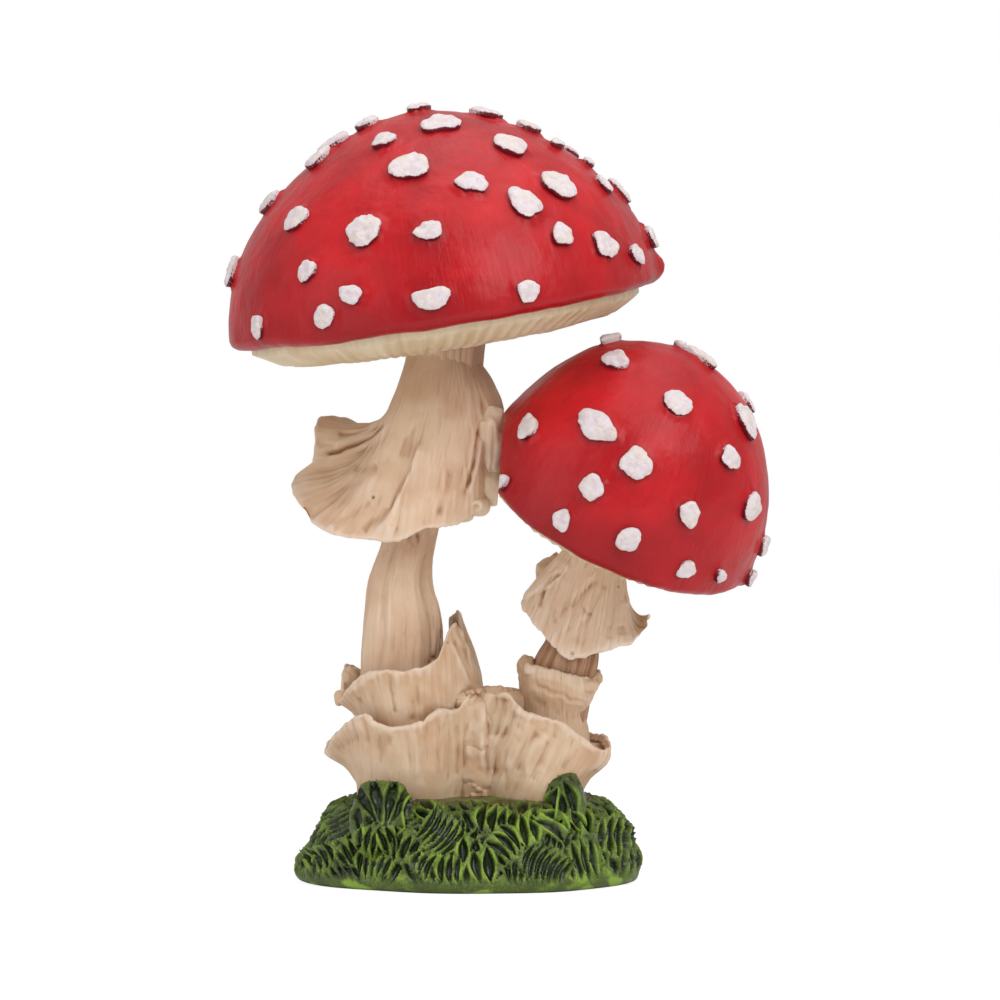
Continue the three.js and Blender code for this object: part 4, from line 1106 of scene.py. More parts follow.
def makeStem(name, stem):
    piece = drum(name, stem["around"], stem["rows"])
    unit = readPoints(piece)
    turns = np.degrees(np.arctan2(unit[:, 1], unit[:, 0])) % 360
    across = np.hypot(unit[:, 0], unit[:, 1])
    foot, top = stem["stations"][0][0], stem["stations"][-1][0]
    level = foot + (top - foot) * unit[:, 2]
    middleX, middleY, radius = smoothTable(stem["stations"], level)
    flow = turns - stem["twist"] * unit[:, 2]
    grain = ring(10, flow, level / 14)
    flutes = 0.35 * np.cos(np.radians(stem["flutes"] * flow)) + 0.75 * bumps(grain, 3.2, 2)
    fine = 0.35 * bumps(grain, 1.3, 3) + 0.18 * ridges(grain, 0.7, 4)
    lumps = 0.3 * bumps(ring(10, flow, level), 7, 5)
    radius = radius + stem["relief"] * (flutes + fine + lumps)
    x, y = polar(radius * across, turns)
    writePoints(piece, np.column_stack([middleX + x, middleY + y, level]))
    setAttribute(piece, "flow", ring(10, flow, level))
    carve(piece, carvings.get(name, {}))
    washHollows(piece, reach=2.2, depth=0.3)
    wash = readRows(piece.data.attributes["wash"].data, "value", 1)[:, 0]
    # Darker brown low on the stem: the wash, and painted shade down in the cups and under the small skirt.
    setAttribute(piece, "wash", np.clip(wash + 0.85 * (1 - easeStep(level, *stem["brown"])), -1, 1))
    return piece


for size in ("big", "small"):
    finishPiece(makeStem(f"{size}Stem", stems[size]), stemCream, "cream_stem", f"{size}_stem")
print("stems made")


# Skirts

skirts = {
    "big": {
        "neck": (-8, 0, 153.1), "roll": 0, "collar": 10.3, "neckRise": 4.3, "hollow": 46, "around": 720,
        "hem": [  # turn, reach, drop, sweep
            (0, 20.6, 39.6, 0.3), (45, 20.5, 41, 0.5), (90, 22, 38, 1), (125, 30, 25, 2.5),
            (140, 38, 20, 5), (150, 41.8, 19.4, 6), (158, 40.6, 22, 5), (165, 38.6, 26, 4),
            (171, 39, 30.4, 4), (176, 43, 33.4, 4), (180, 44.1, 35, 3.6), (187, 43.4, 37.4, 3.1),
            (196, 41.6, 41.8, 2.5), (206, 40.4, 45.8, 1.9), (215, 37.6, 48.4, 1.5), (228, 30.4, 50.2, 1.1),
            (240, 26.6, 51, 1), (250, 25, 50, 0.9), (262, 23.6, 48.4, 0.8), (275, 22.8, 48.8, 0.8),
            (290, 22, 47.2, 0.7), (305, 21.4, 43.6, 0.5), (318, 21, 41, 0.4), (335, 20.8, 39.6, 0.32),
        ],
        "swirl": [(0, 30), (60, 18), (120, 4), (180, 5), (215, 16), (245, 34), (275, 44), (315, 42)],
        "curl": [(110, 0), (140, 2.2), (150, 2.2), (163, 0), (300, 0)],
        "relief": 0.55,
    },
    "small": {
        "neck": (38.6, -5.5, 99.4), "roll": 13, "collar": 7.6, "neckRise": 3, "hollow": 26.5, "around": 560,
        "hem": [
            (0, 18.8, 19.2, 2.8), (12, 19.4, 20.4, 3), (22, 16.4, 21.6, 2), (50, 14, 20, 1),
            (100, 13, 14.5, 1), (118, 14.2, 10.4, 1.2), (135, 14.8, 7.6, 1.5), (150, 15.6, 10.4, 1.8),
            (158, 17, 13.2, 2), (165, 15.6, 17, 1.4), (172, 16.6, 19.4, 1.1), (182, 18.6, 21.8, 0.9),
            (190, 17.4, 23.6, 0.8), (204, 15, 25.6, 0.8), (220, 12.7, 28.2, 0.7), (240, 11.7, 30.4, 0.6),
            (258, 11.7, 32.6, 0.5), (275, 12.3, 32.4, 0.5), (295, 13.7, 30.4, 0.6), (315, 15.8, 28, 0.9),
            (333, 18.2, 26, 1.4), (346, 19.4, 22.6, 2.2),
        ],
        "swirl": [(0, 20), (90, 8), (180, 12), (250, 34), (300, 30)],
        "curl": [(0, 1), (30, 0), (130, 0), (152, 1.6), (168, 0), (330, 0)],
        "relief": 0.5,
    },
}
hemEdge = {"out": 0.6, "tall": 0.9, "lift": 0.6}  # the quarter round from the underside to the hem
skirtRows = {"under": 18, "edge": 6, "over": 64, "neck": 6}


def makeSkirt(name, skirt):
    around, collar, hollow = skirt["around"], skirt["collar"], skirt["hollow"]
    turns = around360(around)
    reach, drop, sweep = smoothTable(skirt["hem"], turns, 360)
    flutter = ring(20, turns)
    reach = reach + 0.5 * bumps(flutter, 3.5, 1) + 0.4 * bumps(flutter, 1.2, 2)
    drop = drop + 0.5 * bumps(flutter, 3, 3) + 0.4 * bumps(flutter, 1.1, 4)
    curl = smoothTable(skirt["curl"], turns, 360)[0]
    out, tall, lift = hemEdge.values()
    inner = reach - out
    under, edge, over = [], [], []
    for share in np.arange(25) / 24:
        fall = hollow + (drop + tall - lift - hollow) * share ** 2
        under.append([axisHole + (inner - axisHole) * share, curl * share ** 8 - fall])
    for share in np.arange(9) / 8:
        bend = math.pi / 2 * (share - 1)
        edge.append([inner + out * math.cos(bend), curl - drop + lift + tall * math.sin(bend)])
    for share in np.arange(81) / 80:
        left = share ** 3
        fall = drop * (left ** sweep - 1) + lift * (1 - left) ** 2 + curl * (1 - left) ** 8
        over.append([collar + (reach - collar) * (1 - left), fall])
    edge[0], edge[-1] = under[-1], over[0]
    rise = skirt["neckRise"]
    neck = profile(around, [collar, 0], [collar - 0.4, rise * 0.5], [collar - 0.9, rise])
    lines = [profile(around, *stations) for stations in (under, edge, over)] + [neck]
    piece, turn, level, radius, height = turnedForm(name, around, list(zip(skirtRows.values(), lines)))
    hemLevel = skirtRows["under"] + skirtRows["edge"]
    down = np.clip((hemLevel + skirtRows["over"] - level) / skirtRows["over"], 0, 1)  # 1 at the hem
    outside = easeStep(level, skirtRows["under"] - 4, skirtRows["under"] + 2)
    flow = (turn + smoothTable(skirt["swirl"], turn, 360)[0] * down) % 360
    grain = ring(22, flow, down * 2.5)
    relief = (0.35 + 0.65 * down) * (0.9 * bumps(grain, 6, 1) + 0.35 * bumps(grain, 2.6, 2))
    relief = skirt["relief"] * (relief + 0.14 * bumps(grain, 1, 3) + 0.06 * ridges(grain, 0.6, 4))
    points = ring(radius, turn, height)
    relief += 0.4 * bumps(points, 7, 6)
    writePoints(piece, points)
    fixNormals(piece)
    push(piece, relief * outside)
    writePoints(piece, (readPoints(piece) / mm) @ turnMatrix(skirt["roll"], "Y").T + np.array(skirt["neck"]))
    carve(piece, carvings[name])
    if name == "bigSkirt":
        writePoints(piece, besideContact(readPoints(piece) / mm, -1))
    setAttribute(piece, "flow", ring(22, flow, down * 45))
    washHollows(piece, reach=2.4, depth=0.6)
    return piece


for size, paint in (("big", stemCream), ("small", paintedLightSkirtCream)):
    finishPiece(makeSkirt(f"{size}Skirt", skirts[size]), paint, "cream_stem", f"{size}_skirt")
print("skirts made")


# Cups: torn rings of veil round the feet

cups = {
    "bigLowerCup": {
        "middle": (-17, -1), "seat": 20, "floor": 45, "wall": 2, "lean": 0, "relief": 0.6, "washDepth": 0.6,
        "rim": [  # turn, level, and the wall's radius at its foot, each quarter of its height and its rim
            (0, 54, 19, 20, 21, 22, 22), (30, 50, 19, 20, 21, 22, 22.4), (60, 47.5, 18.5, 20, 21, 22, 22.4),
            (90, 45.5, 18, 19, 20, 21.2, 23.4), (120, 48, 18, 19.2, 20.2, 21.2, 22.6),
            (150, 44, 17, 17.8, 18.6, 20.4, 23.6), (170, 40.5, 15, 15, 16.4, 20, 24.6),
            (187, 38.4, 14.6, 14.8, 16, 19.4, 25), (200, 42.5, 15.4, 15.8, 17, 20, 24.2),
            (212, 46, 17, 17.8, 18.8, 20.6, 23), (225, 48.8, 17.5, 18.5, 19.6, 21, 22.8),
            (237, 49.3, 18, 19, 20.2, 21.4, 22.6), (246, 47.4, 18.5, 19.5, 20.5, 21.2, 22.4),
            (258, 46, 18.5, 19.8, 20.8, 21.4, 22.6), (270, 46.2, 18.5, 20, 21, 21.6, 22.6),
            (281, 47.8, 18.5, 20, 21.2, 21.8, 22.6), (291, 50.6, 18.5, 20, 21.4, 22.2, 23),
            (306, 51.2, 18.5, 19.5, 20.8, 21.8, 22.4), (315, 52, 18.5, 19.5, 20.6, 21.6, 22),
            (322, 54.8, 18.5, 19.5, 20.6, 21.6, 22), (340, 55, 18.5, 19.5, 20.6, 21.8, 22.2),
        ],
    },
    "bigUpperCup": {
        "middle": (-15.5, 0), "seat": 41, "floor": 53, "wall": 1.8, "lean": 0, "relief": 0.5,
        "washDepth": 0.6,
        "rolls": [  # lumps on the rim: middle and size
            ((-34.6, 6, 59), (2.9, 3, 3.2)), ((-37.4, -2.4, 53), (1.9, 2.4, 2.2)),
        ],
        "rim": [
            (8, 77.4, 18, 19.5, 19.8, 17.2, 13.8), (25, 77.8, 18, 19.5, 19.8, 17.2, 13.6),
            (40, 75.5, 18, 19.5, 19.8, 17.2, 13.8), (55, 66, 18, 19, 19.6, 19.5, 18),
            (75, 59.5, 17, 18.2, 19.4, 20.5, 21), (100, 58, 16, 17.4, 19, 20.5, 22),
            (135, 60, 16, 17.4, 19, 20.5, 22), (150, 62.4, 15.5, 16.5, 18, 20, 22),
            (161, 62.6, 15.5, 16, 17, 19.4, 22.6), (169, 57.6, 15.5, 16, 17, 19, 22.4),
            (180, 54, 15.5, 16, 17, 18.8, 22.4), (190, 52.6, 15.5, 16, 17, 18.8, 23),
            (203, 55.2, 15.5, 16.3, 17.5, 19.5, 22.6), (212, 57, 16, 17, 18.2, 20, 22.4),
            (224, 60.2, 16.8, 17.8, 19, 20.4, 22), (237, 62, 17, 18, 19.3, 20.6, 22),
            (262, 62.6, 17.5, 18.5, 19.6, 20.8, 21.9), (277, 63, 17.5, 18.5, 19.6, 20.8, 21.8),
            (291, 66, 17.5, 18.6, 19.8, 20.4, 20), (300, 70.6, 17.5, 18.6, 19.8, 20, 18.4),
            (307, 74.2, 17.5, 18.6, 19.8, 19.6, 17.6), (315, 75.4, 17.5, 18.6, 19.8, 19.6, 17.6),
            (321, 73, 17.5, 18.6, 19.8, 19.6, 17.8), (327, 69.4, 17.5, 18.6, 19.8, 20, 18.4),
            (335, 64, 17.8, 18.8, 20, 20.2, 18.8), (344, 59.4, 18, 19, 20, 20.4, 19.6),
            (354, 68, 18, 19.2, 19.8, 17.8, 15.6),
        ],
    },
    "smallLowerCup": {
        "middle": (21, -5), "seat": 20, "floor": 40, "wall": 2, "lean": 1.5, "relief": 0.9, "washDepth": 0.6,
        "rim": [
            (0, 42.2, 10, 11.5, 15, 20.3, 20), (20, 42.5, 12, 13.5, 16.5, 20, 19.5),
            (40, 43, 14, 16, 18, 19, 18.5), (60, 45, 15, 16.5, 17.5, 18, 18.2),
            (100, 48, 15, 16.5, 17.5, 18, 18.6), (140, 51, 15, 17, 18, 18.5, 18.5),
            (180, 54, 15.5, 17, 18, 18.5, 18.5), (211, 55.4, 15.5, 17, 18, 18.3, 18.2),
            (225, 55.5, 15.2, 16.9, 17.9, 18.2, 18), (241, 54.8, 15.2, 16.9, 17.9, 18.2, 18),
            (252, 51, 15, 16.8, 17.8, 18.2, 18), (266, 49.2, 15, 16.8, 17.8, 18.2, 17.8),
            (285, 48, 15, 16.5, 17.6, 18, 17.8), (299, 46, 14.5, 16, 17.2, 18, 17.8),
            (312, 43.4, 13.5, 15, 16.6, 18, 18.4), (322, 40.6, 12.5, 14, 16, 18.4, 19.8),
            (334, 39.2, 11.5, 13, 15.6, 19.6, 21.4), (346, 40, 10.5, 12, 15, 20.4, 21.6),
        ],
    },
    "smallUpperCup": {
        "middle": (26.5, -5), "seat": 38.5, "floor": 57, "wall": 1.7, "lean": 0, "relief": 0.5,
        "washDepth": 1.1,
        "rolls": [
            ((17.2, -6.5, 62.4), (2.9, 3.4, 3.6)), ((16.8, -8, 58.4), (2, 2.6, 3.4)),
            ((37.6, -8, 59.4), (1.9, 2.2, 1.7)), ((20.6, -13, 61.4), (3.6, 2.4, 1.7)),
            ((34, -13, 57.4), (4, 2.6, 2.2)),
        ],
        "rim": [
            (0, 60, 9.6, 8.8, 8, 10, 12.4), (12, 61.6, 9.6, 8.8, 8.2, 10.6, 12.6),
            (30, 61, 10, 9.4, 8.8, 11, 12), (50, 62, 11, 10.4, 9.6, 11, 12),
            (90, 62, 12, 11.4, 10.4, 11, 12), (130, 62.5, 14, 13, 11.4, 11.2, 12),
            (165, 63, 15.2, 14.2, 12, 10.6, 11), (180, 64.4, 15.4, 14.4, 12.2, 10.6, 10.8),
            (192, 64.2, 15.4, 14.4, 12.2, 11, 11), (204, 62.6, 15.2, 14.2, 12.2, 11.8, 12),
            (215, 63, 15, 14, 12, 12.2, 12.4), (240, 62.9, 14.4, 13.2, 11.8, 12.4, 12.2),
            (270, 61.6, 13.6, 12.2, 11, 12.4, 12.2), (300, 60.4, 12, 10.8, 9.8, 12.2, 12.4),
            (325, 59.8, 10.4, 9.4, 8.4, 11.2, 12.2), (345, 59.8, 9.8, 9, 8, 10, 12),
        ],
    },
}

cupForm = {
    "around": 400,
    "lipDrop": 0.9,  # from the rim down to where its roll starts
    "lipRise": 0.7,
    "lipWall": 0.55,  # the lip's thickness against the wall's
    "footWall": 0.4,  # how much thicker the wall is at the cup's floor
    "leastDepth": 2.5,  # of the floor below the rim
}
cupRows = {"bottom": 3, "outer": 48, "lip": 7, "inner": 14, "floor": 6}


def wallRadius(radii, rise):  # smooth through the five radii of every column
    place = np.clip(rise, 0, 1) * 4
    low = np.minimum(place.astype(int), 3)
    share = place - low
    columns = np.arange(radii.shape[1])
    before, here, after, beyond = (
        radii[np.clip(low + step, 0, 4), columns] for step in (-1, 0, 1, 2))
    ease = share * share * (3 - 2 * share)
    leaving = (after - before) / 2 * share * (1 - share) ** 2
    arriving = (beyond - here) / 2 * share ** 2 * (share - 1)
    return here * (1 - ease) + after * ease + leaving + arriving


def makeLump(middle, size, rough, seed, square=0.9):  # a lump that a square value below 1 makes boxier
    clearSelection()
    bpy.ops.mesh.primitive_ico_sphere_add(subdivisions=6, radius=1, location=(0, 0, 0))
    piece = bpy.context.object
    unit = readPoints(piece)
    points = np.sign(unit) * np.abs(unit) ** square * np.array(size)
    lump = 1 + 0.13 * bumps(points, 4, seed) + rough * bumps(points, 1.7, seed)
    points = points * lump[:, None] + np.array(middle)
    writePoints(piece, points)
    setAttribute(piece, "flow", points)
    return piece


def makeCup(name, cup):
    around, seat, wall = cupForm["around"], cup["seat"], cup["wall"]
    turns = around360(around)
    top, *radii = smoothTable(cup["rim"], turns, 360)
    radii = np.array(radii)
    flutter = ring(20, turns, seat)
    top = top + 0.6 * bumps(flutter, 3.5, 1) + 0.45 * bumps(flutter, 1.5, 2)
    radii[4] += 0.5 * bumps(flutter, 4, 3) + 0.35 * bumps(flutter, 1.6, 4)
    lipWall = cupForm["lipWall"] * wall
    shoulder = top - cupForm["lipDrop"]
    floor = np.minimum(cup["floor"], top - cupForm["leastDepth"])
    bottom = [[axisHole, seat], [radii[0], seat]]
    outer, lip, inner = [], [], []
    for share in np.arange(33) / 32:
        outer.append([wallRadius(radii, np.full(around, share)), seat + (shoulder - seat) * share])
    for share in np.arange(9) / 8:
        reach = lipWall / 2
        bend = math.pi * share
        lip.append([
            radii[4] - reach + reach * math.cos(bend), shoulder + cupForm["lipRise"] * math.sin(bend)])
    for share in np.arange(17) / 16:
        level = shoulder - (shoulder - floor) * share
        thick = lipWall + (wall + cupForm["footWall"] - lipWall) * share
        inner.append([wallRadius(radii, (level - seat) / (shoulder - seat)) - thick, level])
    inner[0] = lip[-1]
    flat = [[inner[-1][0], floor], [axisHole, floor.mean()]]
    lines = [profile(around, *stations) for stations in (bottom, outer, lip, inner, flat)]
    piece, turn, level, radius, height = turnedForm(name, around, list(zip(cupRows.values(), lines)))
    points = ring(radius, turn, height)
    writePoints(piece, points)
    fixNormals(piece)
    rimLevel = cupRows["bottom"] + cupRows["outer"]
    rise = np.clip((level - cupRows["bottom"]) / cupRows["outer"], 0, 1)
    outside = easeStep(level, 3, 5) * (1 - easeStep(level, rimLevel + 3, rimLevel + 9))
    flow = turn - cup["lean"] * (height - 30) + 3 * np.sin(height / 8)
    grain = ring(20, flow, height / 16)
    relief = 0.7 * cup["relief"] * (0.4 + 0.6 * rise) * (bumps(grain, 6, 1) + 0.4 * bumps(grain, 2.6, 2))
    relief += 0.12 * bumps(grain, 1.1, 3) + 0.05 * ridges(grain, 0.6, 4) + 0.3 * bumps(points, 5, 6)
    push(piece, relief * outside)
    writePoints(piece, readPoints(piece) / mm + np.array([*cup["middle"], 0]))
    carve(piece, carvings[name])
    setAttribute(piece, "flow", ring(20, flow, height))
    rolls = [makeLump(*roll, 0.12, number) for number, roll in enumerate(cup.get("rolls", []))]
    piece = joinPieces(name, [piece, *rolls])
    washHollows(piece, reach=2.4, depth=cup["washDepth"])
    return piece


for name, node in (("bigLowerCup", "big_lower_cup"), ("bigUpperCup", "big_upper_cup"),
                   ("smallLowerCup", "small_lower_cup"), ("smallUpperCup", "small_upper_cup")):
    finishPiece(makeCup(name, cups[name]), cupTan, "brown_cup", node)
print("cups made")


# Mound: turf pressed into fans of blades, each blade a sickle-shaped hollow between two thin ridges

mound = {
    "width": 101, "depth": 84, "height": 25, "crown": 25.4, "band": 4, "lobe": 1.4, "around": 800,
    "rows": 100, "tufts": 24, "tuftRows": 3, "tuftHeight": 2.2, "seed": 21,
    "footEdge": 0.9,  # how far the underside's edge is in from the foot
    "slope": [  # radius and level, from the top down to the foot
        (30, 25.2), (34, 24.6), (38, 23.3), (41.3, 21.2), (44, 18), (46.2, 14.4), (48, 10.6), (49.6, 7),
        (50.3, 4), (50.2, 2), (49.3, 0.7), (48.2, 0.2),
    ],
    "bulges": [(-60, 17, 4), (-122, 20, -2.5), (176, 30, 0.8)],  # turn, spread, and how far the foot goes out
    "swells": [(180, 28, -2.8, 13, 5), (0, 24, 1.7, 16, 4), (0, 24, -1.6, 3, 5)],  # and level and height
    "lumps": [(14, 0.8), (5, 0.6)],
    "fanLevels": [22, 18.5, 14.5, 10.5, 6.5],
}
moundRows = {"under": 3, "edge": 2, "slope": mound["rows"], "top": 6}

grass = {
    "ridge": 0.75,
    "hollow": 1.7,
    "blades": (3, 6),
    "pitch": (2, 3.3),
    "length": (8, 12.5),
    "lean": 42,
    "bend": 0.06,
    "spread": 0.6,
    "thin": (0.16, 0.34),  # how wide a ridge is against its blade
    "light": (0.35, 1),  # how much lime its ridges take
    "reach": 16,  # a fan changes nothing further than that from its middle
}

frontFans = [  # x and z as seen from the front, lean, blades, pitch, length, bend, spread, thin, light
    (-12.5, 20.2, -62, 2, 2.6, 6, 0, 0, 0.3, 0.7), (8.4, 17.5, 8, 4, 3.1, 7.5, 0.06, 0, 0.28, 1),
    (-38.8, 16.4, 62, 6, 1.5, 13, 0.01, 0, 0.16, 0.45), (33.1, 16.5, -20, 2, 3.4, 8, 0, 0.3, 0.26, 0.8),
    (27.3, 11.4, 12, 5, 1.9, 7, 0.03, 0, 0.16, 0.35), (-45, 12.4, 45, 4, 1.6, 9, 0, 0.3, 0.2, 0.5),
    (43.9, 12.4, 5, 5, 2.4, 13, 0.02, 0.2, 0.3, 0.9), (17.9, 14.5, -12, 2, 3, 9, 0, 0, 0.42, 1.2),
    (-19.9, 9.4, 20, 4, 2.6, 9, 0.04, 0.2, 0.3, 0.85), (-34.5, 7.4, -25, 4, 2, 8, 0, 0.4, 0.26, 0.8),
    (25.3, 16.5, -55, 2, 3, 10, -0.05, 0, 0.42, 1), (-7.8, 13.1, 38, 6, 1.9, 12, -0.03, 0.2, 0.17, 0.9),
    (10.4, 9.7, -50, 4, 2.6, 10, -0.04, 0.4, 0.3, 0.95), (0.3, 8.4, 0, 2, 3.4, 7, 0, 0, 0.34, 1.2),
    (33.4, 5, -15, 4, 2.4, 12, 0, 0.2, 0.3, 0.9), (47.6, 5, 0, 3, 2, 8, 0, 0, 0.26, 0.6),
    (-43.2, 6.4, -30, 4, 2.2, 8, -0.1, 0, 0.3, 0.8), (-28, 4.3, 15, 5, 2, 8, 0.02, 0.3, 0.3, 0.9),
    (4.4, 3.6, -10, 2, 3.6, 9, 0, 0.3, 0.5, 1), (-11.8, 3.6, 25, 5, 2.2, 8, 0.07, 0, 0.24, 1),
    (-5.8, 2.6, 3, 3, 2.3, 8, 0.05, 0, 0.3, 1), (22.6, 3.6, 22, 7, 2, 11, 0.05, 0.1, 0.18, 0.75),
]

clumps = {  # bodies of leaves at the foot of the cups, and the fans on their fronts
    "left": {
        "middle": (-24, -27, 19.5), "size": (9.2, 8, 11.6), "lean": 8, "seed": 2,
        "fans": [
            (-29.6, 16.2, 18, 3, 3.2, 9, 0.03, 0.8, 0.2, 0.3),
            (-24.8, 22.4, 0, 4, 3.8, 15, 0, 1.5, 0.13, 0.45),
            (-28.8, 11, 12, 4, 2.2, 9, 0.04, 0.2, 0.26, 0.8),
            (-22.4, 11.4, -18, 3, 2.4, 8, -0.04, 0.2, 0.3, 0.9),
            (-17.6, 19.4, 10, 1, 3.2, 13, 0.03, 0.4, 0.5, 1),
        ],
    },
    "right": {
        "middle": (28.2, -19.8, 21.8), "size": (6.2, 6.4, 11), "lean": 12, "seed": 6,
        "fans": [
            (29, 22.8, -20, 2, 3.4, 12, -0.03, 0.4, 0.22, 0.3),
            (31.2, 15.6, -38, 2, 3.2, 8, 0, 0.4, 0.3, 0.7),
            (25.8, 13.6, 20, 3, 2.2, 8, 0.03, 0.2, 0.28, 0.9), (24, 21.6, 8, 1, 4, 8.5, 0.06, 0, 0.55, 1),
        ],
    },
}

slopeLine = np.array(mound["slope"], float)
slopeReach = np.append(0, np.cumsum(np.linalg.norm(np.diff(slopeLine, axis=0), axis=1)))
slopeTable = np.column_stack([slopeReach / slopeReach[-1], slopeLine])  # share of the way down, radius, level


def fromTurn(turns, middle):  # signed degrees from a turn
    return (turns - middle + 180) % 360 - 180


def onMound(turns, down):  # points on the slope, from 0 at its top to 1 at its foot
    radius, level = smoothTable(slopeTable, np.clip(down, 0, 1))
    radians = np.radians(turns)
    up = np.clip((level - mound["band"]) / (mound["height"] - mound["band"]), 0, 1)
    swing = np.cos(mound["tufts"] * radians)
    tuft = 0.5 * mound["tuftHeight"] * swing * np.sin(math.pi * mound["tuftRows"] * up)
    wander = mound["lobe"] * (np.cos(3 * radians + 0.6) + 0.6 * np.cos(5 * radians + 1.9))
    for turn, spread, out in mound["bulges"]:
        wander = wander + out * np.exp(-(fromTurn(turns, turn) / spread) ** 2) * easeStep(down, 0.2, 0.8)
    for turn, spread, out, middle, tall in mound["swells"]:
        far = (fromTurn(turns, turn) / spread) ** 2 + ((level - middle) / tall) ** 2
        wander = wander + out * np.exp(-far)
    radius = radius * (1 + (wander + tuft * (1 - 0.5 * up)) / (mound["width"] / 2))
    x, y = polar(radius, turns)
    return np.column_stack([x, y * mound["depth"] / mound["width"], level + 0.5 * up * tuft])


def pressFan(relief, crest, aside, above, fan):
    # Presses one fan of blades at its middle. The relief and the crest, which is 1 on a ridge that takes
    # the most lime and -1 in a hollow, change where the fan is.
    lean, blades, pitch, length, bend, spread, thin, light = fan
    near = np.nonzero((np.abs(aside) < grass["reach"]) & (np.abs(above) < grass["reach"]))[0]
    tilt = math.radians(lean)
    across = aside[near] * math.cos(tilt) - above[near] * math.sin(tilt)
    along = aside[near] * math.sin(tilt) + above[near] * math.cos(tilt)
    across = across - bend * along ** 2
    wide = pitch * np.clip(1 + spread * along / length, 0.3, 3)
    phase = across / wide + 0.5 * blades
    blade = np.clip(np.floor(phase), 0, blades - 1)
    fromMiddle = 2 * np.abs(phase - blade - 0.5)
    outer = ((2 * blade + 1) / blades - 1) ** 2
    long = 0.58 * length * (1 - 0.25 * outer) * (1 + 0.14 * np.sin(5.1 * blade + lean))
    taper = np.clip(1 - np.abs(along / long) ** 1.7, 0.04, 1)
    away = fromMiddle / taper
    whole = np.hypot(2 * (phase - 0.5 * blades) / blades, along / (0.56 * length))
    ridge = np.exp(-((away - 1) / thin / (0.6 + 0.4 / taper)) ** 2)
    hollow = np.clip(1 - away ** 2, 0, 1) ** 0.7
    blend = 1 - easeStep(np.minimum(away - 1, whole), 0.9, 1.15)
    blend = np.maximum(blend, 1 - easeStep(away, 1.04, 1.34)) * (1 - easeStep(whole, 1.2, 1.35))
    high = 0.75 + 0.25 * np.sin(2.7 * blade + 0.8 * along + lean)
    raised = 0.4 * easeStep(away, 0.8, 1) + 0.6 * ridge
    shape = grass["ridge"] * high * raised - grass["hollow"] * min(pitch / 2.8, 1) * hollow
    relief[near] = relief[near] * (1 - blend) + shape * blend
    crest[near] = crest[near] * (1 - blend) + (light * high * raised - 0.85 * hollow) * blend


def pressFrontFans(relief, crest, points, facing, fans, least):
    # Fans placed where they show from the front. What is turned to the camera by less than the least value is
    # moved out of their reach.
    seenX, seenZ = seenFromFront(points)
    hidden = np.where(facing[:, 1] > -least, 99, 0)
    for x, z, *fan in fans:
        pressFan(relief, crest, seenX - x + hidden, seenZ - z, fan)


def randomFan(light):
    draw = random.uniform
    return (
        draw(-1, 1) * grass["lean"], random.randint(*grass["blades"]), draw(*grass["pitch"]),
        draw(*grass["length"]), draw(-1, 1) * grass["bend"], draw(0, grass["spread"]), draw(*grass["thin"]),
        draw(*grass["light"]) * light)


def makeMound():
    around, rows = mound["around"], mound["rows"]
    turns = around360(around)
    deep = mound["depth"] / mound["width"]
    slope = []
    for step in range(rows + 1):
        places = onMound(turns, np.full(around, 1 - step / rows))
        slope.append([np.hypot(places[:, 0], places[:, 1] / deep), places[:, 2]])
    foot = slope[0][0] - mound["footEdge"]
    under = [[axisHole, 0], [foot, 0]]
    edge = [[foot, 0], slope[0]]
    top = [slope[-1], [axisHole, mound["crown"]]]
    lines = [profile(around, *stations) for stations in (under, edge, slope, top)]
    piece, turn, level, radius, height = turnedForm("moundBody", around, list(zip(moundRows.values(), lines)))
    x, y = polar(radius, turn)
    points = np.column_stack([x, y * deep, height])
    writePoints(piece, points)
    fixNormals(piece)
    footLevel = moundRows["under"] + moundRows["edge"]
    down = 1 - (level - footLevel) / rows
    relief = 0.5 * bumps(points, 3, 4)
    crest = 0.3 + 0.5 * bumps(points, 5, 5)
    random.seed(mound["seed"])
    for row, fanLevel in enumerate(mound["fanLevels"]):
        rowDown = np.interp(-fanLevel, -slopeTable[:, 2], slopeTable[:, 0])
        for number in range(mound["tufts"]):
            middle = 360 * (number + 0.5 * (row % 2) + random.uniform(-0.2, 0.2)) / mound["tufts"]
            fanDown = rowDown + random.uniform(-0.05, 0.05)
            aside = np.radians(fromTurn(turn, middle)) * radius
            above = (fanDown - down) * slopeReach[-1]
            pressFan(relief, crest, aside, above, randomFan(0.55 + 0.45 * rowDown))
    pressFrontFans(relief, crest, points, readNormals(piece), frontFans, 0.12)
    slopeOnly = (1 - easeStep(down, 0.8, 0.95)) * easeStep(level, footLevel, footLevel + 3)
    relief = relief * slopeOnly * (1 - easeStep(level, rows + 4, rows + 6))
    lumps = sum(size * bumps(points, apart, 3) for apart, size in mound["lumps"])
    push(piece, relief + lumps * easeStep(level, 6, 20))
    smear = 0.15 + 0.9 * easeStep(bumps(points * [1, 1, 2.2], 7, 7), 0.05, 0.45)
    setAttribute(piece, "crest", crest * slopeOnly + smear * (1 - slopeOnly))
    bare = 1 - easeStep(np.hypot(x - 2, y), 34, 38)
    setAttribute(piece, "earth", np.clip(bare * (0.6 + 0.8 * bumps(points, 3, 3)), 0, 1))
    return piece


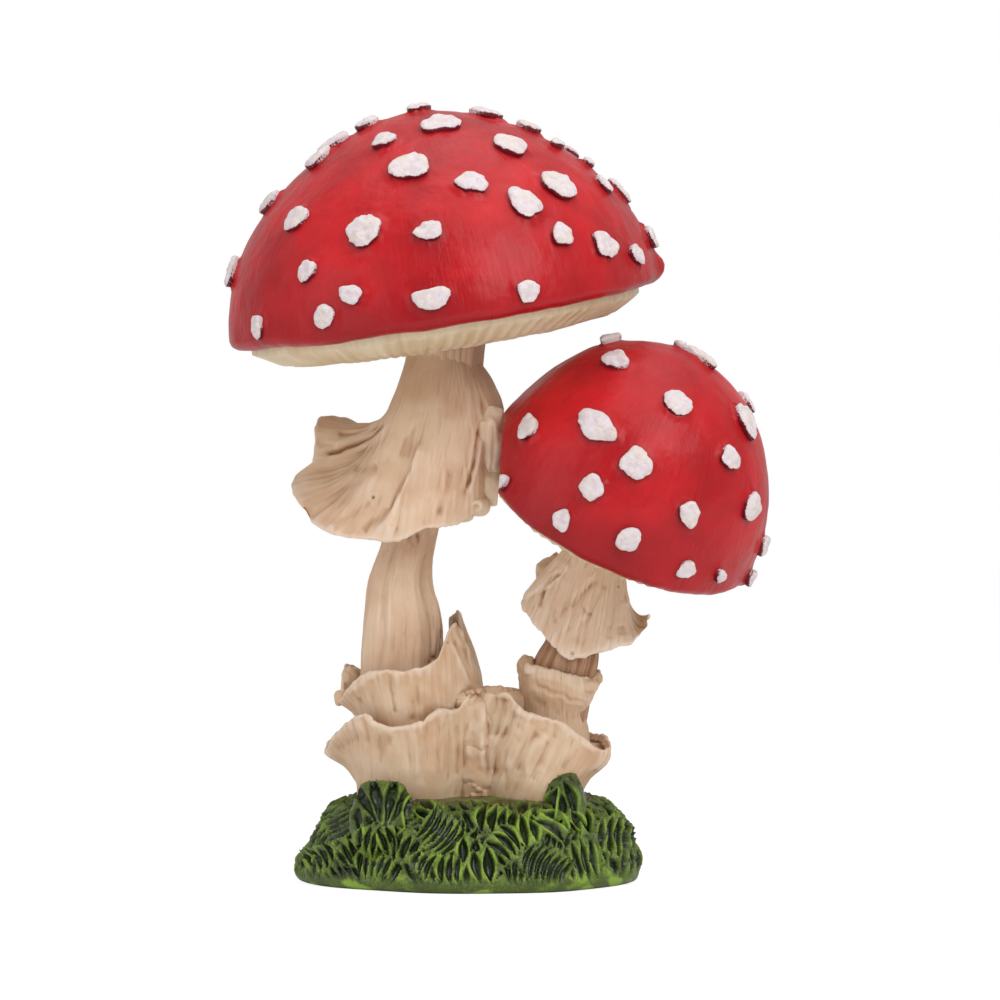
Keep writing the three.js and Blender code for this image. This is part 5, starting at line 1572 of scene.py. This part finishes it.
def makeClump(name, clump):
    clearSelection()
    bpy.ops.mesh.primitive_uv_sphere_add(segments=160, ring_count=90, radius=1, location=(0, 0, 0))
    piece = bpy.context.object
    piece.name = piece.data.name = name
    unit = readPoints(piece)
    size = np.array(clump["size"])
    edge = 1 + 0.09 * bumps(unit * size, 5, clump["seed"]) + 0.05 * bumps(unit * size, 2, clump["seed"])
    points = np.sign(unit) * np.abs(unit) ** 0.85 * size * edge[:, None]
    points = points @ turnMatrix(-clump["lean"], "X").T + np.array(clump["middle"])
    writePoints(piece, points)
    relief = np.zeros(len(points))
    crest = -0.15 + 0.5 * bumps(points, 3, 5) + 0.5 * (1 - easeStep(seenFromFront(points)[1], 10, 17))
    pressFrontFans(relief, crest, points, readNormals(piece), clump["fans"], 0.05)
    push(piece, relief)
    setAttribute(piece, "crest", crest)
    setAttribute(piece, "earth", np.zeros(len(unit)))
    return piece


finishPiece(makeMound(), grassGreen, "green_grass", "mound")
for side in ("left", "right"):
    finishPiece(makeClump(f"{side}Clump", clumps[side]), grassGreen, "green_grass", f"grass_clump_{side}")
print("mound and grass made")


# Lumps of resin filler where castings were joined

joints = {
    "resinWeb": {  # between the big skirt and the small cap
        "lumps": [  # middle and size
            ((6.8, -10.2, 125), (5.4, 5.6, 13.5)), ((2.6, -15.4, 109.6), (4, 4.4, 3)),
            ((6.8, -12.4, 115), (4, 4.8, 5.4)), ((-2, -17.3, 106.8), (3.6, 3, 2)),
        ],
        "strokes": {
            "lines": [
                (-0.3, 0.8, 5, 136, 5.4, 128, 4.8, 121, 4.2, 114),
                (-0.25, 0.6, 7.4, 134, 7.4, 126, 6.8, 118)],
            "pits": [
                (-1.2, 0.7, 2.6, 109.5)],
        },
        "rough": 0.02, "washDepth": 0.8, "side": -1, "seed": 4, "square": 0.9,
    },
    "cupSeam": {  # up the gap between the lower cups, over to the small upper cup, with crumbs at its foot
        "lumps": [
            ((3.2, -9.4, 45), (7.2, 6.8, 9.5)), ((3.5, -8.9, 35.5), (7.6, 6.4, 9.5)),
            ((3.9, -8, 26), (7.6, 5.8, 9.5)), ((7.6, -7, 51), (6.2, 6.4, 6)),
            ((13.8, -6, 50.6), (6, 6, 5.6)), ((-1, -10.4, 53), (4.4, 4.4, 2.8)),
        ],
        "crumbs": [
            ((1.8, -13.4, 28.8), (1.1, 1, 1.2)), ((3.4, -13.4, 27.2), (1.3, 1.1, 1)),
            ((5, -13.4, 25.9), (1.2, 1, 1.1)), ((1.6, -13.2, 25.6), (1, 1, 0.9)),
            ((3.6, -13.6, 29.8), (0.9, 0.8, 0.9)), ((6.6, -13.4, 24.4), (1.1, 1, 0.8)),
            ((0.6, -13.6, 55.4), (1.2, 1.2, 0.9)), ((-2.6, -14, 54.2), (1.3, 1.1, 0.8)),
            ((3.4, -13, 56), (1, 1, 0.8)), ((9.4, -10, 56.6), (1.2, 1, 0.8)), ((12.8, -9, 56), (1, 1, 0.7)),
        ],
        "strokes": {
            "lines": [
                (-0.9, 0.8, 6.6, 52, 6.2, 46, 5.9, 38, 5.7, 30),
                (-0.3, 1.1, 1.8, 50, 1.6, 42, 1.8, 33),
                (-0.3, 0.9, -1.2, 50, -1.6, 42, -1.4, 32)],
            "pits": [
                (-0.8, 0.8, 0.4, 54), (-0.7, 0.7, -2.4, 53.4), (-0.7, 0.6, 4.6, 54.6)],
        },
        "rough": 0.03, "washDepth": 1.2, "side": 0, "seed": 9, "square": 0.75,
    },
}


def makeJoint(name, joint):
    lumps = [
        makeLump(*lump, joint["rough"], number, joint["square"])
        for number, lump in enumerate(joint["lumps"], joint["seed"])]
    crumbs = [makeLump(*crumb, 0.3, number) for number, crumb in enumerate(joint.get("crumbs", []))]
    piece = joinPieces(name, lumps + crumbs)
    carve(piece, joint["strokes"])
    if joint["side"]:
        writePoints(piece, besideContact(readPoints(piece) / mm, joint["side"]))
    washHollows(piece, reach=1.6, depth=joint["washDepth"])
    return piece


finishPiece(makeJoint("resinWeb", joints["resinWeb"]), webCream, "cream_stem")
finishPiece(makeJoint("cupSeam", joints["cupSeam"]), cupTan, "brown_cup")
print("resin filler made")


# Pins stay as the frame has them

for pin in ("big_cap_pin", "small_cap_pin", "big_foot_pin", "small_foot_pin"):
    bpy.data.objects[pin].data.materials[0] = rodSteel
